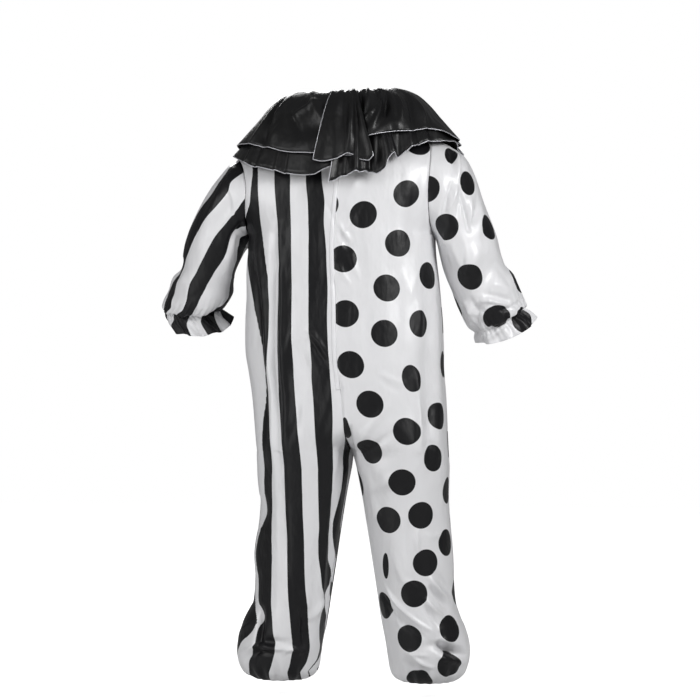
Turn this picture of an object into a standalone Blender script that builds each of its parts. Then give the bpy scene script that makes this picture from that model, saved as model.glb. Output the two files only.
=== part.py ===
"""Two-tone clown costume, worn: a loose one-piece suit and a two-layer ruffle collar.

The suit is cut as four long panels (front and back, left and right), two full sleeves and a strip
over the back closing.  Every piece is a thin wall of satin.  Its outer face is a loft through
sections worked out from the tables below, and its inner face is the same loft moved in by the
cloth's thickness.  +X is the wearer's left, -Y is the front and +Z is up.  Heights in the tables
are above the soles of the wearer's feet; the part's origin is the centre of the neck opening.
"""
import math

import bpy
import numpy as np

# ---------------------------------------------------------------- driving dimensions (metres)
CLOTH = 0.0015              # thickness of the satin
SEAM_GAP = 0.0003           # clear width between two pieces at a seam
NECK_HEIGHT = 1.545         # height of the neck opening above the soles
NECK_HALF_WIDTH = 0.086
NECK_HALF_DEPTH = 0.078
FRONT_NECK_DROP = 0.055     # how much lower the neck edge is at the centre front
CROTCH_HEIGHT = 0.642
RISE_LENGTH = 0.130         # height over which two legs become one body
ARMPIT_HEIGHT = 1.200
ARMHOLE_HALF_DEPTH = 0.115
SHOULDER_LEAN = 40.0        # degrees by which a row leaves the shoulder's tip aslant
BACK_SHOULDER_DROP = 0.022  # how much lower a row from the tip is at the centre back and front
FRONT_SHOULDER_DROP = 0.050

PANEL_COLUMNS = 12          # spans across a panel, side seam to centre seam
ANKLE_COLUMNS = 20          # spans across a panel where the elastic gathers it
ARMHOLE_ROWS = 9            # spans along half an armhole
SLEEVE_COLUMNS = 36         # spans round a sleeve below its head
CUFF_WAVES = 9              # gathers round a cuff
ANKLE_WAVES = 5             # gathers across one panel at the ankle
ANKLE_GATHER = 0.045        # their height, as a share of the leg's radius
GATHER_TOP = 0.110          # height where they start, and the height over which they grow
GATHER_LENGTH = 0.060

BAND_HEIGHT = 0.028         # height of the collar's neckband
BAND_END = -292.5           # turn at which its ends meet, in degrees
BAND_SLIT = 0.8             # and the slit between them, in degrees
LOWER_SEAT = 0.006          # where each ruffle is sewn on, above the band's lower edge
UPPER_SEAT = 0.016
SEAT_GAP = 0.0006           # from the band's corners, which the ruffle's chords cut inside
UPPER_OUTSET = 0.012        # how far the upper ruffle lies outside the lower one
LAP_OUTSET = 0.006          # how far a ruffle's last end lies outside its first end
LAP_AT_SEAT = 0.6           # share of it by which the ends lie one over the other at the band
SEAT_REACH = 0.4            # share of the drop over which a ruffle leaves the band
PLEAT_GROWTH = 0.8          # power by which the pleats deepen towards the hem
LEVEL_AT_CREST = 0.25       # direction "outward" of the cloth: level and upward shares of a metre
LEVEL_AT_HEM = 0.85
RISE_AT_CREST = 0.95
RISE_AT_HEM = 0.50
PROFILE_STEPS = 40          # steps along the ruffle's longest drop
PROFILE_CREST = 0.3         # share of that drop from which it only falls

STRIP_WIDTH = 0.011         # closing strip down the centre back
STRIP_LOW = 0.800
STRIP_CLOTH = 0.0012


def table(names, *rows):
    """Columns of a table as arrays, by name."""
    return dict(zip(names.split(), np.array(rows, float).T))


# Trunk from the crotch up: half of its width, and its depth behind and before the side seams.
# "square" is the power of the section's curve: 2 is an ellipse, and more is boxier.
TRUNK = table(
    "height half_width back front square",
    (0.642, 0.2495, 0.158, 0.150, 2.5),
    (0.680, 0.2505, 0.165, 0.156, 2.6),
    (0.742, 0.2520, 0.172, 0.162, 2.7),
    (0.783, 0.2530, 0.175, 0.164, 2.7),
    (0.846, 0.2550, 0.178, 0.166, 2.7),
    (0.910, 0.2590, 0.179, 0.168, 2.7),
    (0.970, 0.2580, 0.176, 0.168, 2.7),
    (1.035, 0.2540, 0.172, 0.166, 2.7),
    (1.098, 0.2510, 0.169, 0.163, 2.7),
    (1.160, 0.2460, 0.167, 0.160, 2.7),
    (1.200, 0.2440, 0.166, 0.157, 2.6),
    (1.300, 0.2400, 0.164, 0.150, 2.3),
    (1.360, 0.2400, 0.156, 0.137, 2.1),
    (1.420, 0.2400, 0.141, 0.113, 2.0),
    (1.490, 0.2000, 0.110, 0.080, 2.0),
    (1.545, 0.0860, 0.078, 0.060, 2.0),
)

# One leg from the ankle up: its centre, and its half width and depths.
LEG = table(
    "height centre half_width back front square",
    (0.045, 0.1920, 0.0735, 0.072, 0.070, 2.0),
    (0.053, 0.1925, 0.0870, 0.086, 0.082, 2.0),
    (0.068, 0.1935, 0.0985, 0.100, 0.095, 2.0),
    (0.092, 0.1945, 0.1045, 0.110, 0.105, 2.0),
    (0.123, 0.1920, 0.1065, 0.116, 0.110, 2.0),
    (0.186, 0.1800, 0.1058, 0.117, 0.112, 2.0),
    (0.249, 0.1650, 0.1010, 0.115, 0.112, 2.0),
    (0.375, 0.1520, 0.1070, 0.122, 0.118, 2.0),
    (0.500, 0.1370, 0.1110, 0.132, 0.126, 2.2),
    (0.600, 0.1285, 0.1205, 0.150, 0.142, 2.4),
    (0.642, 0.12475, 0.12475, 0.158, 0.150, 2.5),
)

ANKLE_ROW_HEIGHTS = (0.045, 0.053, 0.068)
LEG_ROW_HEIGHTS = (0.092, 0.123, 0.160, 0.215, 0.290, 0.380, 0.480, 0.570, 0.620)
RISE_ROWS = (0.0, 0.12, 0.28, 0.52, 1.0)            # shares of RISE_LENGTH
TRUNK_ROW_HEIGHTS = (0.810, 0.858, 0.910, 0.970, 1.035, 1.098, 1.155)
SHOULDER_ROWS = (0.30, 0.62, 1.0)                   # shares of the shoulder seam, tip to neck

# The wearer stands with the trunk swayed to the left: sideways shift by height.
SWAY = table(
    "height shift",
    (0.600, 0.000),
    (0.660, 0.005),
    (0.780, 0.013),
    (0.900, 0.025),
    (1.035, 0.028),
    (1.160, 0.033),
    (1.300, 0.025),
    (1.400, 0.015),
    (1.500, 0.012),
)

# Armholes: half distance between them at the armpit, half way up and at the shoulder's tip.
ARMHOLES = {
    "left": dict(armpit=0.2440, middle=0.2380, tip=0.2700, tip_height=1.424),
    "right": dict(armpit=0.2440, middle=0.2300, tip=0.2320, tip_height=1.450),
}

# Sleeves below the armhole.  Each section runs from an outer to an inner point and is as deep as
# given; the arm hangs forward, so a section's middle moves forward and its back side dips.
SLEEVE_NAMES = "outer outer_height inner inner_height half_depth forward dip gather"
SLEEVES = {
    "left": table(
        SLEEVE_NAMES,
        (0.2970, 1.405, 0.2475, 1.190, 0.116, 0.000, 0, 0.0),
        (0.3205, 1.384, 0.2515, 1.178, 0.114, 0.001, 0, 0.0),
        (0.3550, 1.337, 0.2570, 1.161, 0.110, 0.003, 2, 0.0),
        (0.3880, 1.276, 0.2640, 1.143, 0.105, 0.007, 4, 0.0),
        (0.4180, 1.197, 0.2740, 1.126, 0.100, 0.012, 6, 0.0),
        (0.4310, 1.138, 0.2890, 1.103, 0.096, 0.018, 9, 0.0),
        (0.4590, 1.102, 0.2990, 1.080, 0.094, 0.025, 12, 0.0),
        (0.4730, 1.064, 0.3020, 1.054, 0.092, 0.032, 15, 0.001),
        (0.4880, 1.036, 0.3130, 1.034, 0.088, 0.038, 18, 0.002),
        (0.4920, 1.020, 0.3360, 1.019, 0.078, 0.042, 20, 0.003),
        (0.4850, 1.012, 0.3630, 1.016, 0.062, 0.045, 20, 0.003),
        (0.4840, 0.996, 0.3400, 1.002, 0.068, 0.050, 22, 0.005),
        (0.4650, 0.970, 0.3080, 0.977, 0.080, 0.056, 24, 0.007),
    ),
    "right": table(
        SLEEVE_NAMES,
        (0.2660, 1.433, 0.2475, 1.188, 0.116, 0.000, 0, 0.0),
        (0.3020, 1.408, 0.2510, 1.177, 0.114, 0.001, 0, 0.0),
        (0.3360, 1.354, 0.2550, 1.160, 0.110, 0.003, 2, 0.0),
        (0.3650, 1.286, 0.2590, 1.140, 0.105, 0.007, 4, 0.0),
        (0.4040, 1.198, 0.2630, 1.120, 0.100, 0.012, 6, 0.0),
        (0.4210, 1.136, 0.2710, 1.092, 0.096, 0.018, 9, 0.0),
        (0.4480, 1.098, 0.2820, 1.062, 0.094, 0.025, 12, 0.0),
        (0.4590, 1.064, 0.2950, 1.026, 0.092, 0.032, 15, 0.001),
        (0.4680, 1.036, 0.3130, 0.988, 0.088, 0.038, 18, 0.002),
        (0.4720, 1.021, 0.3300, 0.956, 0.079, 0.042, 20, 0.003),
        (0.4640, 1.014, 0.3440, 0.939, 0.064, 0.045, 20, 0.003),
        (0.4840, 1.001, 0.3420, 0.929, 0.070, 0.050, 22, 0.005),
        (0.5000, 0.986, 0.3450, 0.918, 0.080, 0.056, 24, 0.007),
    ),
}
DEEP_FOLD = 0.6             # mean length of unit normals below which a seam counts as folded shut
HEAD_ROWS = 4               # sleeve sections that keep the armhole's own columns

# The largest folds of the suit: a soft ridge (or trough, with a height below zero) along a line
# on the back or the front, from one point to another, with its half width.
FOLDS = table(
    "side x_from height_from x_to height_to half_width rise",
    (+1, -0.245, 0.955, -0.222, 0.640, 0.022, 0.010),
    (+1, -0.190, 0.930, -0.185, 0.660, 0.026, -0.008),
    (+1, -0.090, 0.285, -0.240, 0.150, 0.022, 0.011),
    (+1, -0.130, 0.140, -0.245, 0.065, 0.020, 0.010),
    (+1, -0.245, 0.140, -0.285, 0.085, 0.020, -0.009),
    (+1, 0.270, 0.215, 0.225, 0.120, 0.022, 0.009),
    (+1, 0.120, 0.170, 0.245, 0.128, 0.016, -0.008),
    (+1, 0.235, 0.560, 0.225, 0.330, 0.024, -0.007),
    (+1, 0.225, 1.180, 0.238, 0.960, 0.020, 0.008),
    (+1, -0.130, 0.560, -0.150, 0.360, 0.024, -0.007),
    (-1, 0.205, 0.960, 0.190, 0.660, 0.026, 0.009),
    (-1, -0.210, 0.930, -0.195, 0.650, 0.024, 0.009),
    (-1, -0.120, 0.860, -0.105, 0.700, 0.024, -0.008),
    (-1, 0.090, 0.290, 0.240, 0.150, 0.022, 0.010),
    (-1, -0.110, 0.200, -0.240, 0.110, 0.022, 0.010),
    (-1, 0.130, 0.130, 0.245, 0.075, 0.018, -0.008),
    (+1, 0.345, 1.300, 0.400, 1.120, 0.022, 0.008),
    (+1, 0.275, 1.210, 0.320, 1.100, 0.018, -0.009),
    (+1, -0.290, 1.340, -0.360, 1.150, 0.022, -0.008),
    (+1, -0.330, 1.120, -0.440, 1.060, 0.018, 0.007),
    (+1, -0.355, 0.985, -0.420, 1.040, 0.015, -0.006),
    (-1, 0.350, 1.300, 0.410, 1.120, 0.022, -0.008),
    (-1, -0.340, 1.300, -0.400, 1.130, 0.022, 0.008),
)

# The collar stands out over the shoulders: distance from its middle and height of the lower
# ruffle, over the shoulder, behind and before.  "along" is the share of the longest drop.
RUFFLE = table(
    "along side side_height back back_height front front_height",
    (0.00, 0.0870, 1.551, 0.0790, 1.551, 0.0790, 1.496),
    (0.10, 0.1040, 1.563, 0.0940, 1.557, 0.0940, 1.504),
    (0.22, 0.1300, 1.568, 0.1170, 1.551, 0.1170, 1.500),
    (0.36, 0.1640, 1.559, 0.1400, 1.528, 0.1420, 1.479),
    (0.50, 0.1970, 1.533, 0.1580, 1.492, 0.1630, 1.445),
    (0.65, 0.2270, 1.497, 0.1730, 1.450, 0.1800, 1.403),
    (0.80, 0.2580, 1.462, 0.1860, 1.406, 0.1930, 1.360),
    (1.00, 0.3030, 1.413, 0.2020, 1.346, 0.2060, 1.304),
)

# Height of each ruffle's hem.  "turn" is in degrees round the neck: 0 is over the left shoulder,
# 90 is the centre back, -90 the centre front and -180 the right shoulder; a ruffle starts under
# its own last end, at the centre back, and runs past the left shoulder and the front.
UPPER_HEM = table(
    "turn height",
    (97, 1.404), (85, 1.406), (69, 1.414), (62, 1.421), (50, 1.430), (11, 1.446), (-10, 1.440),
    (-45, 1.412), (-90, 1.388), (-135, 1.415), (-180, 1.455), (-202, 1.476), (-242, 1.476),
    (-254, 1.468), (-259, 1.440),
    (-261, 1.405), (-265, 1.402), (-269, 1.416), (-275, 1.404), (-283, 1.399), (-292, 1.404),
)
LOWER_HEM = table(
    "turn height",
    (102, 1.392), (80, 1.388), (76, 1.378), (69, 1.366), (58, 1.368), (36, 1.386), (5, 1.414),
    (-10, 1.411), (-45, 1.365), (-90, 1.330), (-135, 1.372), (-180, 1.432), (-204, 1.448),
    (-234, 1.441), (-244, 1.414), (-250, 1.390), (-255, 1.373), (-267, 1.369), (-281, 1.350),
)

# Spans of a ruffle between two turns: close together where the cloth is pleated deeply.
UPPER_SPANS = (
    (97, 68, 16), (68, 0, 10), (0, -180, 32), (-180, -235, 11), (-235, -263, 16), (-263, -292, 16),
)
LOWER_SPANS = (
    (102, 79, 12), (79, 0, 12), (0, -180, 32), (-180, -235, 11), (-235, -258, 12), (-258, -281, 12),
)
UPPER_ROWS = (0.0, 0.10, 0.26, 0.46, 0.66, 0.84, 1.0)
LOWER_ROWS = (0.0, 0.09, 0.22, 0.38, 0.55, 0.72, 0.87, 1.0)

# The ruffles' pleats at the back: turn, half width in degrees, and rise at the hem.
PLEATS = table(
    "turn half_width rise",
    (-292, 4.0, 0.005), (-285, 3.5, -0.005), (-277, 3.2, 0.009), (-272, 2.4, -0.007),
    (-268, 2.4, 0.008), (-264, 2.4, -0.010), (-260, 2.8, 0.014), (-255, 3.2, -0.013),
    (-249, 3.6, 0.012), (-243, 3.6, -0.008), (-235, 4.5, 0.009), (-224, 5.0, -0.005),
    (-211, 6.0, 0.007), (-196, 6.0, -0.005), (-182, 6.0, 0.004), (-310, 8.0, -0.004),
    (-335, 8.0, 0.005), (-355, 8.0, 0.003),
)
FRONT_PLEATS = 11           # ridges between the two shoulders at the front
FRONT_PLEAT_TURNS = (-10.0, -170.0)
FRONT_PLEAT_HALF_WIDTH = 3.7
FRONT_PLEAT_RISE = 0.009


# ---------------------------------------------------------------- curves through the tables
def follow(at, knots, values):
    """Smooth curve through a table's points that never swings past them (monotone cubic)."""
    knots, values = np.asarray(knots, float), np.asarray(values, float)
    if knots[0] > knots[-1]:
        knots, values = knots[::-1], values[::-1]
    span = np.diff(knots)
    grade = np.diff(values) / span
    both = grade[:-1] * grade[1:]
    total = grade[:-1] + grade[1:]
    inner = np.where(both > 0, 2 * both / np.where(both > 0, total, 1.0), 0.0)
    slope = np.concatenate((grade[:1], inner, grade[-1:]))
    at = np.clip(np.asarray(at, float), knots[0], knots[-1])
    i = np.clip(np.searchsorted(knots, at, side="right") - 1, 0, len(span) - 1)
    t = (at - knots[i]) / span[i]
    start = (1 + 2 * t) * (1 - t) ** 2 * values[i] + t * (1 - t) ** 2 * span[i] * slope[i]
    end = t * t * (3 - 2 * t) * values[i + 1] - t * t * (1 - t) * span[i] * slope[i + 1]
    return start + end


def read(data, column, at):
    """A table's column at a height (its first column)."""
    return follow(at, next(iter(data.values())), data[column])


def ease(t):
    """Smooth step from 0 to 1."""
    t = np.clip(t, 0.0, 1.0)
    return t * t * (3 - 2 * t)


# ---------------------------------------------------------------- sections of the suit's panels
# A row is an array with a point on each line: x, y, height and its place along the row, by which
# the row is joined to its neighbours.
def squared(angle, square):
    """Point of a curve between an ellipse (square 2) and a box, of half width and depth 1."""
    across, through = np.cos(angle), np.maximum(np.sin(angle), 0.0)
    return np.sign(across) * np.abs(across) ** (2 / square), through ** (2 / square)


def leg_row(height, face, columns):
    """Half a leg's section, from the side seam (outside) round to the inseam."""
    angle = np.linspace(0.0, math.pi, columns + 1)
    depth = read(LEG, "back" if face > 0 else "front", height)
    gathers = ANKLE_GATHER * ease((GATHER_TOP - height) / GATHER_LENGTH)
    ripple = 1 + gathers * np.cos(2 * ANKLE_WAVES * angle) * np.sin(angle)
    across, through = squared(angle, read(LEG, "square", height))
    x = read(LEG, "centre", height) + read(LEG, "half_width", height) * ripple * across
    y = face * depth * ripple * through
    return np.stack([x, y, np.full_like(x, height), angle / math.pi], axis=1)


def rise_row(share, face):
    """Section in the rise: the leg's half section opens until it ends on the centre line."""
    height = CROTCH_HEIGHT + share * RISE_LENGTH
    half_width = read(TRUNK, "half_width", height)
    depth = read(TRUNK, "back" if face > 0 else "front", height)
    square = read(TRUNK, "square", height)
    centre = half_width / 2 * (1 - ease(share))
    radius = half_width - centre
    last = math.acos(-((centre / radius) ** (square / 2)))
    angle = np.linspace(0.0, last, PANEL_COLUMNS + 1)
    across, through = squared(angle, square)
    x = centre + radius * across
    x[-1] = 0.0
    return np.stack([x, face * depth * through, np.full_like(x, height), angle / math.pi], axis=1)


def quarter(outer, inner_depth, inner_height, face, square=2.0, lean=0.0):
    """Row from a point on the side, armhole or shoulder seam round to the centre seam.

    It is part of an ellipse or a boxier curve, from the angle "lean" or more, so that it leaves
    the shoulder aslant.
    """
    x_out, y_out, z_out = outer
    power = 2 / square
    start = max(math.asin((y_out / inner_depth) ** (1 / power)), math.radians(lean))
    angle = np.linspace(start, math.pi / 2, PANEL_COLUMNS + 1)
    low = math.sin(start) ** power
    round_in = (np.sin(angle) ** power - low) / (1 - low)
    x = x_out * (np.maximum(np.cos(angle), 0.0) / math.cos(start)) ** power
    x[-1] = 0.0
    y = face * (y_out + (inner_depth - y_out) * round_in)
    share = (angle - start) / (math.pi / 2 - start)
    z = z_out + (inner_height - z_out) * np.sin(math.pi / 2 * share)
    return np.stack([x, y, z, share / 2], axis=1)


def armhole_point(hole, share):
    """Point of the armhole, from the armpit (0) up to the shoulder's tip (1)."""
    x = follow(share, (0.0, 0.5, 1.0), (hole["armpit"], hole["middle"], hole["tip"]))
    lift = (1 - math.cos(math.pi * share)) / 2
    height = ARMPIT_HEIGHT + (hole["tip_height"] - ARMPIT_HEIGHT) * lift
    return float(x), ARMHOLE_HALF_DEPTH * math.sin(math.pi * share), height


def panel_rows(hole, face):
    """All rows of one panel, ankle to neck, on the wearer's left."""
    rows = [leg_row(height, face, ANKLE_COLUMNS) for height in ANKLE_ROW_HEIGHTS]
    rows += [leg_row(height, face, PANEL_COLUMNS) for height in LEG_ROW_HEIGHTS]
    rows += [rise_row(share, face) for share in RISE_ROWS]
    depth_name = "back" if face > 0 else "front"
    for height in TRUNK_ROW_HEIGHTS:
        outer = (read(TRUNK, "half_width", height), 0.0, height)
        depth, square = read(TRUNK, depth_name, height), read(TRUNK, "square", height)
        rows.append(quarter(outer, depth, height, face, square))
    neck_centre = NECK_HEIGHT - (0.0 if face > 0 else FRONT_NECK_DROP)
    tip_centre = hole["tip_height"] - (BACK_SHOULDER_DROP if face > 0 else FRONT_SHOULDER_DROP)
    for step in range(ARMHOLE_ROWS + 1):
        share = step / ARMHOLE_ROWS
        climb = (share + (1 - math.cos(math.pi * share)) / 2) / 2
        height = ARMPIT_HEIGHT + (tip_centre - ARMPIT_HEIGHT) * climb
        depth, square = read(TRUNK, depth_name, height), read(TRUNK, "square", height)
        lean = SHOULDER_LEAN * ease(share / 0.6)
        rows.append(quarter(armhole_point(hole, share), depth, height, face, square, lean))
    tip_depth = read(TRUNK, depth_name, tip_centre)
    for share in SHOULDER_ROWS:
        outer = (hole["tip"] + (NECK_HALF_WIDTH - hole["tip"]) * share, 0.0,
                 hole["tip_height"] + (NECK_HEIGHT - hole["tip_height"]) * share)
        depth = tip_depth + (NECK_HALF_DEPTH - tip_depth) * share
        height = tip_centre + (neck_centre - tip_centre) * share
        rows.append(quarter(outer, depth, height, face, lean=SHOULDER_LEAN * (1 - share)))
    return rows


def ring_row(points):
    """A row from points spread evenly along it or round a ring."""
    return np.column_stack([points, np.arange(len(points)) / len(points)])


def sleeve_rows(hole, sections):
    """Rings of one sleeve on the wearer's left, from the armhole to the frill's hem."""
    half = [armhole_point(hole, 1 - step / ARMHOLE_ROWS) for step in range(ARMHOLE_ROWS + 1)]
    front = [(x, -y, z) for x, y, z in half[-2:0:-1]]
    rings = [ring_row(np.array(half + front))]
    for i in range(len(sections["outer"])):
        s = {name: values[i] for name, values in sections.items()}
        count = 2 * ARMHOLE_ROWS if i < HEAD_ROWS else SLEEVE_COLUMNS
        angle = np.linspace(0.0, 2 * math.pi, count, endpoint=False)
        outer = np.array((s["outer"], -s["forward"], s["outer_height"]))
        inner = np.array((s["inner"], -s["forward"], s["inner_height"]))
        dip = math.radians(s["dip"])
        across = (outer - inner) / 2
        through = s["half_depth"] * np.array((0.0, math.cos(dip), -math.sin(dip)))
        swell = 1 + s["gather"] / s["half_depth"] * np.cos(CUFF_WAVES * angle)
        ring = (outer + inner) / 2 + np.outer(swell * np.cos(angle), across)
        rings.append(ring_row(ring + np.outer(swell * np.sin(angle), through)))
    return rings


# ---------------------------------------------------------------- rows joined into cloth
def join_rows(first, second, places, closed):
    """Triangles between two neighbouring rows, stepping along whichever row lags behind.

    first and second are the numbers of the rows' first points, places their points' places.
    """
    counts = [len(place) for place in places]
    if closed:
        places = [np.append(place, 1.0) for place in places]
    ends = [len(place) - 1 for place in places]
    i = j = 0
    triangles = []
    while i < ends[0] or j < ends[1]:
        a, b = first + i % counts[0], second + j % counts[1]
        if j == ends[1] or (i < ends[0] and places[0][i + 1] <= places[1][j + 1] + 1e-9):
            i += 1
            triangles.append((a, first + i % counts[0], b))
        else:
            j += 1
            triangles.append((a, second + j % counts[1], b))
    return triangles


def loft(rows, closed=False, flip=False):
    """Points and triangles of the surface through a list of rows."""
    starts = np.cumsum([0] + [len(row) for row in rows])
    triangles = []
    for i in range(len(rows) - 1):
        places = (rows[i][:, 3], rows[i + 1][:, 3])
        triangles += join_rows(starts[i], starts[i + 1], places, closed)
    triangles = np.array(triangles)
    return np.concatenate(rows)[:, :3], triangles[:, ::-1] if flip else triangles


def point_normals(points, triangles):
    """Unit normal at each point, weighted by the area of its triangles."""
    corners = points[triangles]
    faces = np.cross(corners[:, 1] - corners[:, 0], corners[:, 2] - corners[:, 0])
    normals = np.zeros_like(points)
    for corner in range(3):
        np.add.at(normals, triangles[:, corner], faces)
    return normals / np.linalg.norm(normals, axis=1, keepdims=True)


def sew_normals(pieces):
    """Normals that sewn pieces share along their seams, so their walls stay parallel there.

    Where two pieces meet in a deep fold, as under the arm, each keeps its own normal.
    """
    own = {name: point_normals(*piece) for name, piece in pieces.items()}
    met = {}
    for name, (points, _) in pieces.items():
        for key, normal in zip(map(tuple, np.round(points, 6)), own[name]):
            met.setdefault(key, []).append(normal)
    shared = {}
    for name, (points, _) in pieces.items():
        total = np.array([np.mean(met[key], axis=0) for key in map(tuple, np.round(points, 6))])
        size = np.linalg.norm(total, axis=1, keepdims=True)
        shared[name] = np.where(size < DEEP_FOLD, own[name], total / size)
    return shared


def edge_pairs(triangles):
    """The directed edges that only one triangle has: the cloth's free edge."""
    edges = np.concatenate([triangles[:, (0, 1)], triangles[:, (1, 2)], triangles[:, (2, 0)]])
    known = set(map(tuple, edges))
    return [edge for edge in map(tuple, edges) if edge[::-1] not in known]


def draw_in(points, triangles, normals, distance):
    """Move the free edge into the cloth by a distance, mitred where the edge turns."""
    inward = {}
    for a, b in edge_pairs(triangles):
        for end in (a, b):
            side = np.cross(normals[end], points[b] - points[a])
            inward.setdefault(end, []).append(side / np.linalg.norm(side))
    moved = points.copy()
    for end, sides in inward.items():
        total = np.sum(sides, axis=0)
        moved[end] += distance * total / max(1 + float(np.dot(sides[0], sides[-1])), 0.5)
    return moved


def wall(points, triangles, normals, thickness):
    """Closed solid: the outer face, the inner face moved in, and a strip along each free edge."""
    count = len(points)
    inner = triangles[:, ::-1] + count
    rim = []
    for a, b in edge_pairs(triangles):
        rim += [(b, a, a + count), (b, a + count, b + count)]
    solid_points = np.concatenate([points, points - thickness * normals])
    return solid_points, np.concatenate([triangles, inner, np.array(rim)])


# ---------------------------------------------------------------- folds, sway and place
def add_folds(points, normals):
    """Raise or sink the suit's points along their normals by the folds near them."""
    depth = np.zeros(len(points))
    for side, x0, z0, x1, z1, half_width, rise in zip(*FOLDS.values()):
        line = np.array((x1 - x0, z1 - z0))
        offset = points[:, (0, 2)] - (x0, z0)
        share = np.clip(offset @ line / (line @ line), 0.0, 1.0)
        distance = np.linalg.norm(offset - np.outer(share, line), axis=1)
        taper = 0.35 + 0.65 * np.sin(math.pi * share)
        on_side = ease(side * normals[:, 1] / 0.5)
        depth += rise * taper * on_side * np.exp(-(distance / half_width) ** 2)
    return points + normals * depth[:, None]


def place(points):
    """Sway the costume with its wearer and put the origin in the neck opening."""
    shift = read(SWAY, "shift", points[:, 2]) - read(SWAY, "shift", NECK_HEIGHT)
    return points + np.stack([shift, np.zeros_like(shift), np.full_like(shift, -NECK_HEIGHT)], axis=1)


# ---------------------------------------------------------------- the collar
def neck_ring(turns, out, lift):
    """Points round the neck edge, moved out and up."""
    angle = np.radians(turns)
    drop = FRONT_NECK_DROP * np.maximum(-np.sin(angle), 0.0)
    x = (NECK_HALF_WIDTH + out) * np.cos(angle)
    y = (NECK_HALF_DEPTH + out) * np.sin(angle)
    return ring_row(np.stack([x, y, NECK_HEIGHT - drop + lift], axis=1))


def band_rows():
    """The neckband: an upright strip that stands on the suit's neck edge."""
    turns = BAND_END + np.linspace(0.0, 360.0, 4 * PANEL_COLUMNS + 1)
    turns[[0, -1]] += (BAND_SLIT / 2, -BAND_SLIT / 2)
    return [neck_ring(turns, 0.0, lift) for lift in (SEAM_GAP, BAND_HEIGHT)]


def pleat_depth(turns):
    """Rise of the pleats at the hem, by turn round the neck."""
    turns = np.asarray(turns, float)
    depth = np.zeros_like(turns)
    for turn, half_width, rise in zip(*PLEATS.values()):
        for whole in (-360, 0, 360):
            depth += rise * np.exp(-((turns - turn - whole) / half_width) ** 2)
    first, last = FRONT_PLEAT_TURNS
    step = (first - last) / FRONT_PLEATS
    for k in range(FRONT_PLEATS):
        ridge = first - step * (k + 0.5) + 2.5 * math.sin(2.3 * k)
        uneven = FRONT_PLEAT_RISE * (1 + 0.3 * math.sin(1.7 * k))
        depth += uneven * np.exp(-((turns - ridge) / FRONT_PLEAT_HALF_WIDTH) ** 2)
        depth -= 0.8 * uneven * np.exp(-((turns - ridge + step / 2) / FRONT_PLEAT_HALF_WIDTH) ** 2)
    return depth


def ruffle_profile(turns):
    """The ruffle's distance over the shoulder and over the centre, and its height.

    Each is a grid: a row for each step along the longest drop, a column for each turn.
    """
    angle = np.radians(turns)
    behind = ease((np.sin(angle) + 0.25) / 0.5)
    steps = np.linspace(0.0, 1.0, PROFILE_STEPS + 1)
    column = {name: read(RUFFLE, name, steps)[:, None] for name in list(RUFFLE)[1:]}
    deep = column["back"] * behind + column["front"] * (1 - behind)
    centre_height = column["back_height"] * behind + column["front_height"] * (1 - behind)
    height = column["side_height"] * np.cos(angle) ** 2 + centre_height * np.sin(angle) ** 2
    return np.broadcast_to(column["side"], height.shape), deep, height


def hem_reach(turns, height, hem):
    """Share of the longest drop at which the ruffle has come down to its hem's height."""
    first = int(PROFILE_CREST * PROFILE_STEPS)
    steps = np.linspace(0.0, 1.0, PROFILE_STEPS + 1)[first:]
    falls = np.maximum.accumulate(-height[first:], axis=0)
    hem_heights = follow(turns, hem["turn"], hem["height"])
    return np.array([np.interp(-hem_heights[k], falls[:, k], steps) for k in range(len(turns))])


def ruffle_rows(spans, shares, hem, seat, outset):
    """Rows of a ruffle from the band to its hem, one point for each turn."""
    stretches = [np.linspace(a, b, count, endpoint=False) for a, b, count in spans]
    turns = np.concatenate(stretches + [spans[-1][1:2]])
    angle = np.radians(turns)
    profile = ruffle_profile(turns)
    reach = hem_reach(turns, profile[2], hem)
    lap = LAP_OUTSET * (turns[0] - turns) / (turns[0] - turns[-1])
    pleats = pleat_depth(turns)
    rows = [neck_ring(turns, SEAT_GAP, seat + LAP_AT_SEAT * lap)]
    for share in shares[1:]:
        along = share * reach
        low = np.minimum((along * PROFILE_STEPS).astype(int), PROFILE_STEPS - 1)
        part = along * PROFILE_STEPS - low
        here = np.arange(len(turns))
        wide, deep, up = (g[low, here] * (1 - part) + g[low + 1, here] * part for g in profile)
        leaving = ease(share / SEAT_REACH)
        out = outset * leaving + lap * (0.8 + 0.2 * share) + pleats * share ** PLEAT_GROWTH
        steep = ease((along - 0.15) / 0.5)
        level = out * (LEVEL_AT_CREST + (LEVEL_AT_HEM - LEVEL_AT_CREST) * steep)
        rise = out * (RISE_AT_CREST + (RISE_AT_HEM - RISE_AT_CREST) * steep)
        up = up + rise + (1 - leaving) * (seat - LOWER_SEAT)
        rows.append(ring_row(np.stack(
            [(wide + level) * np.cos(angle), (deep + level) * np.sin(angle), up], axis=1)))
    return rows


# ---------------------------------------------------------------- objects
def satin(name, colour, roughness):
    """A Principled material in one colour."""
    material = bpy.data.materials.new(name)
    material.use_nodes = True
    shader = material.node_tree.nodes["Principled BSDF"]
    shader.inputs["Base Color"].default_value = (*colour, 1.0)
    shader.inputs["Roughness"].default_value = roughness
    shader.inputs["Metallic"].default_value = 0.0
    return material


def make_object(name, solid, material, collection):
    """A named mesh object from points and triangles."""
    points, triangles = solid
    mesh = bpy.data.meshes.new(name)
    mesh.from_pydata(points.tolist(), [], triangles.tolist())
    mesh.materials.append(material)
    mesh.shade_smooth()
    mesh.set_sharp_from_angle(angle=math.radians(50))
    obj = bpy.data.objects.new(name, mesh)
    collection.objects.link(obj)
    return obj


def mirrored(rows):
    """Rows moved to the wearer's right side."""
    return [row * (-1, 1, 1, 1) for row in rows]


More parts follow.
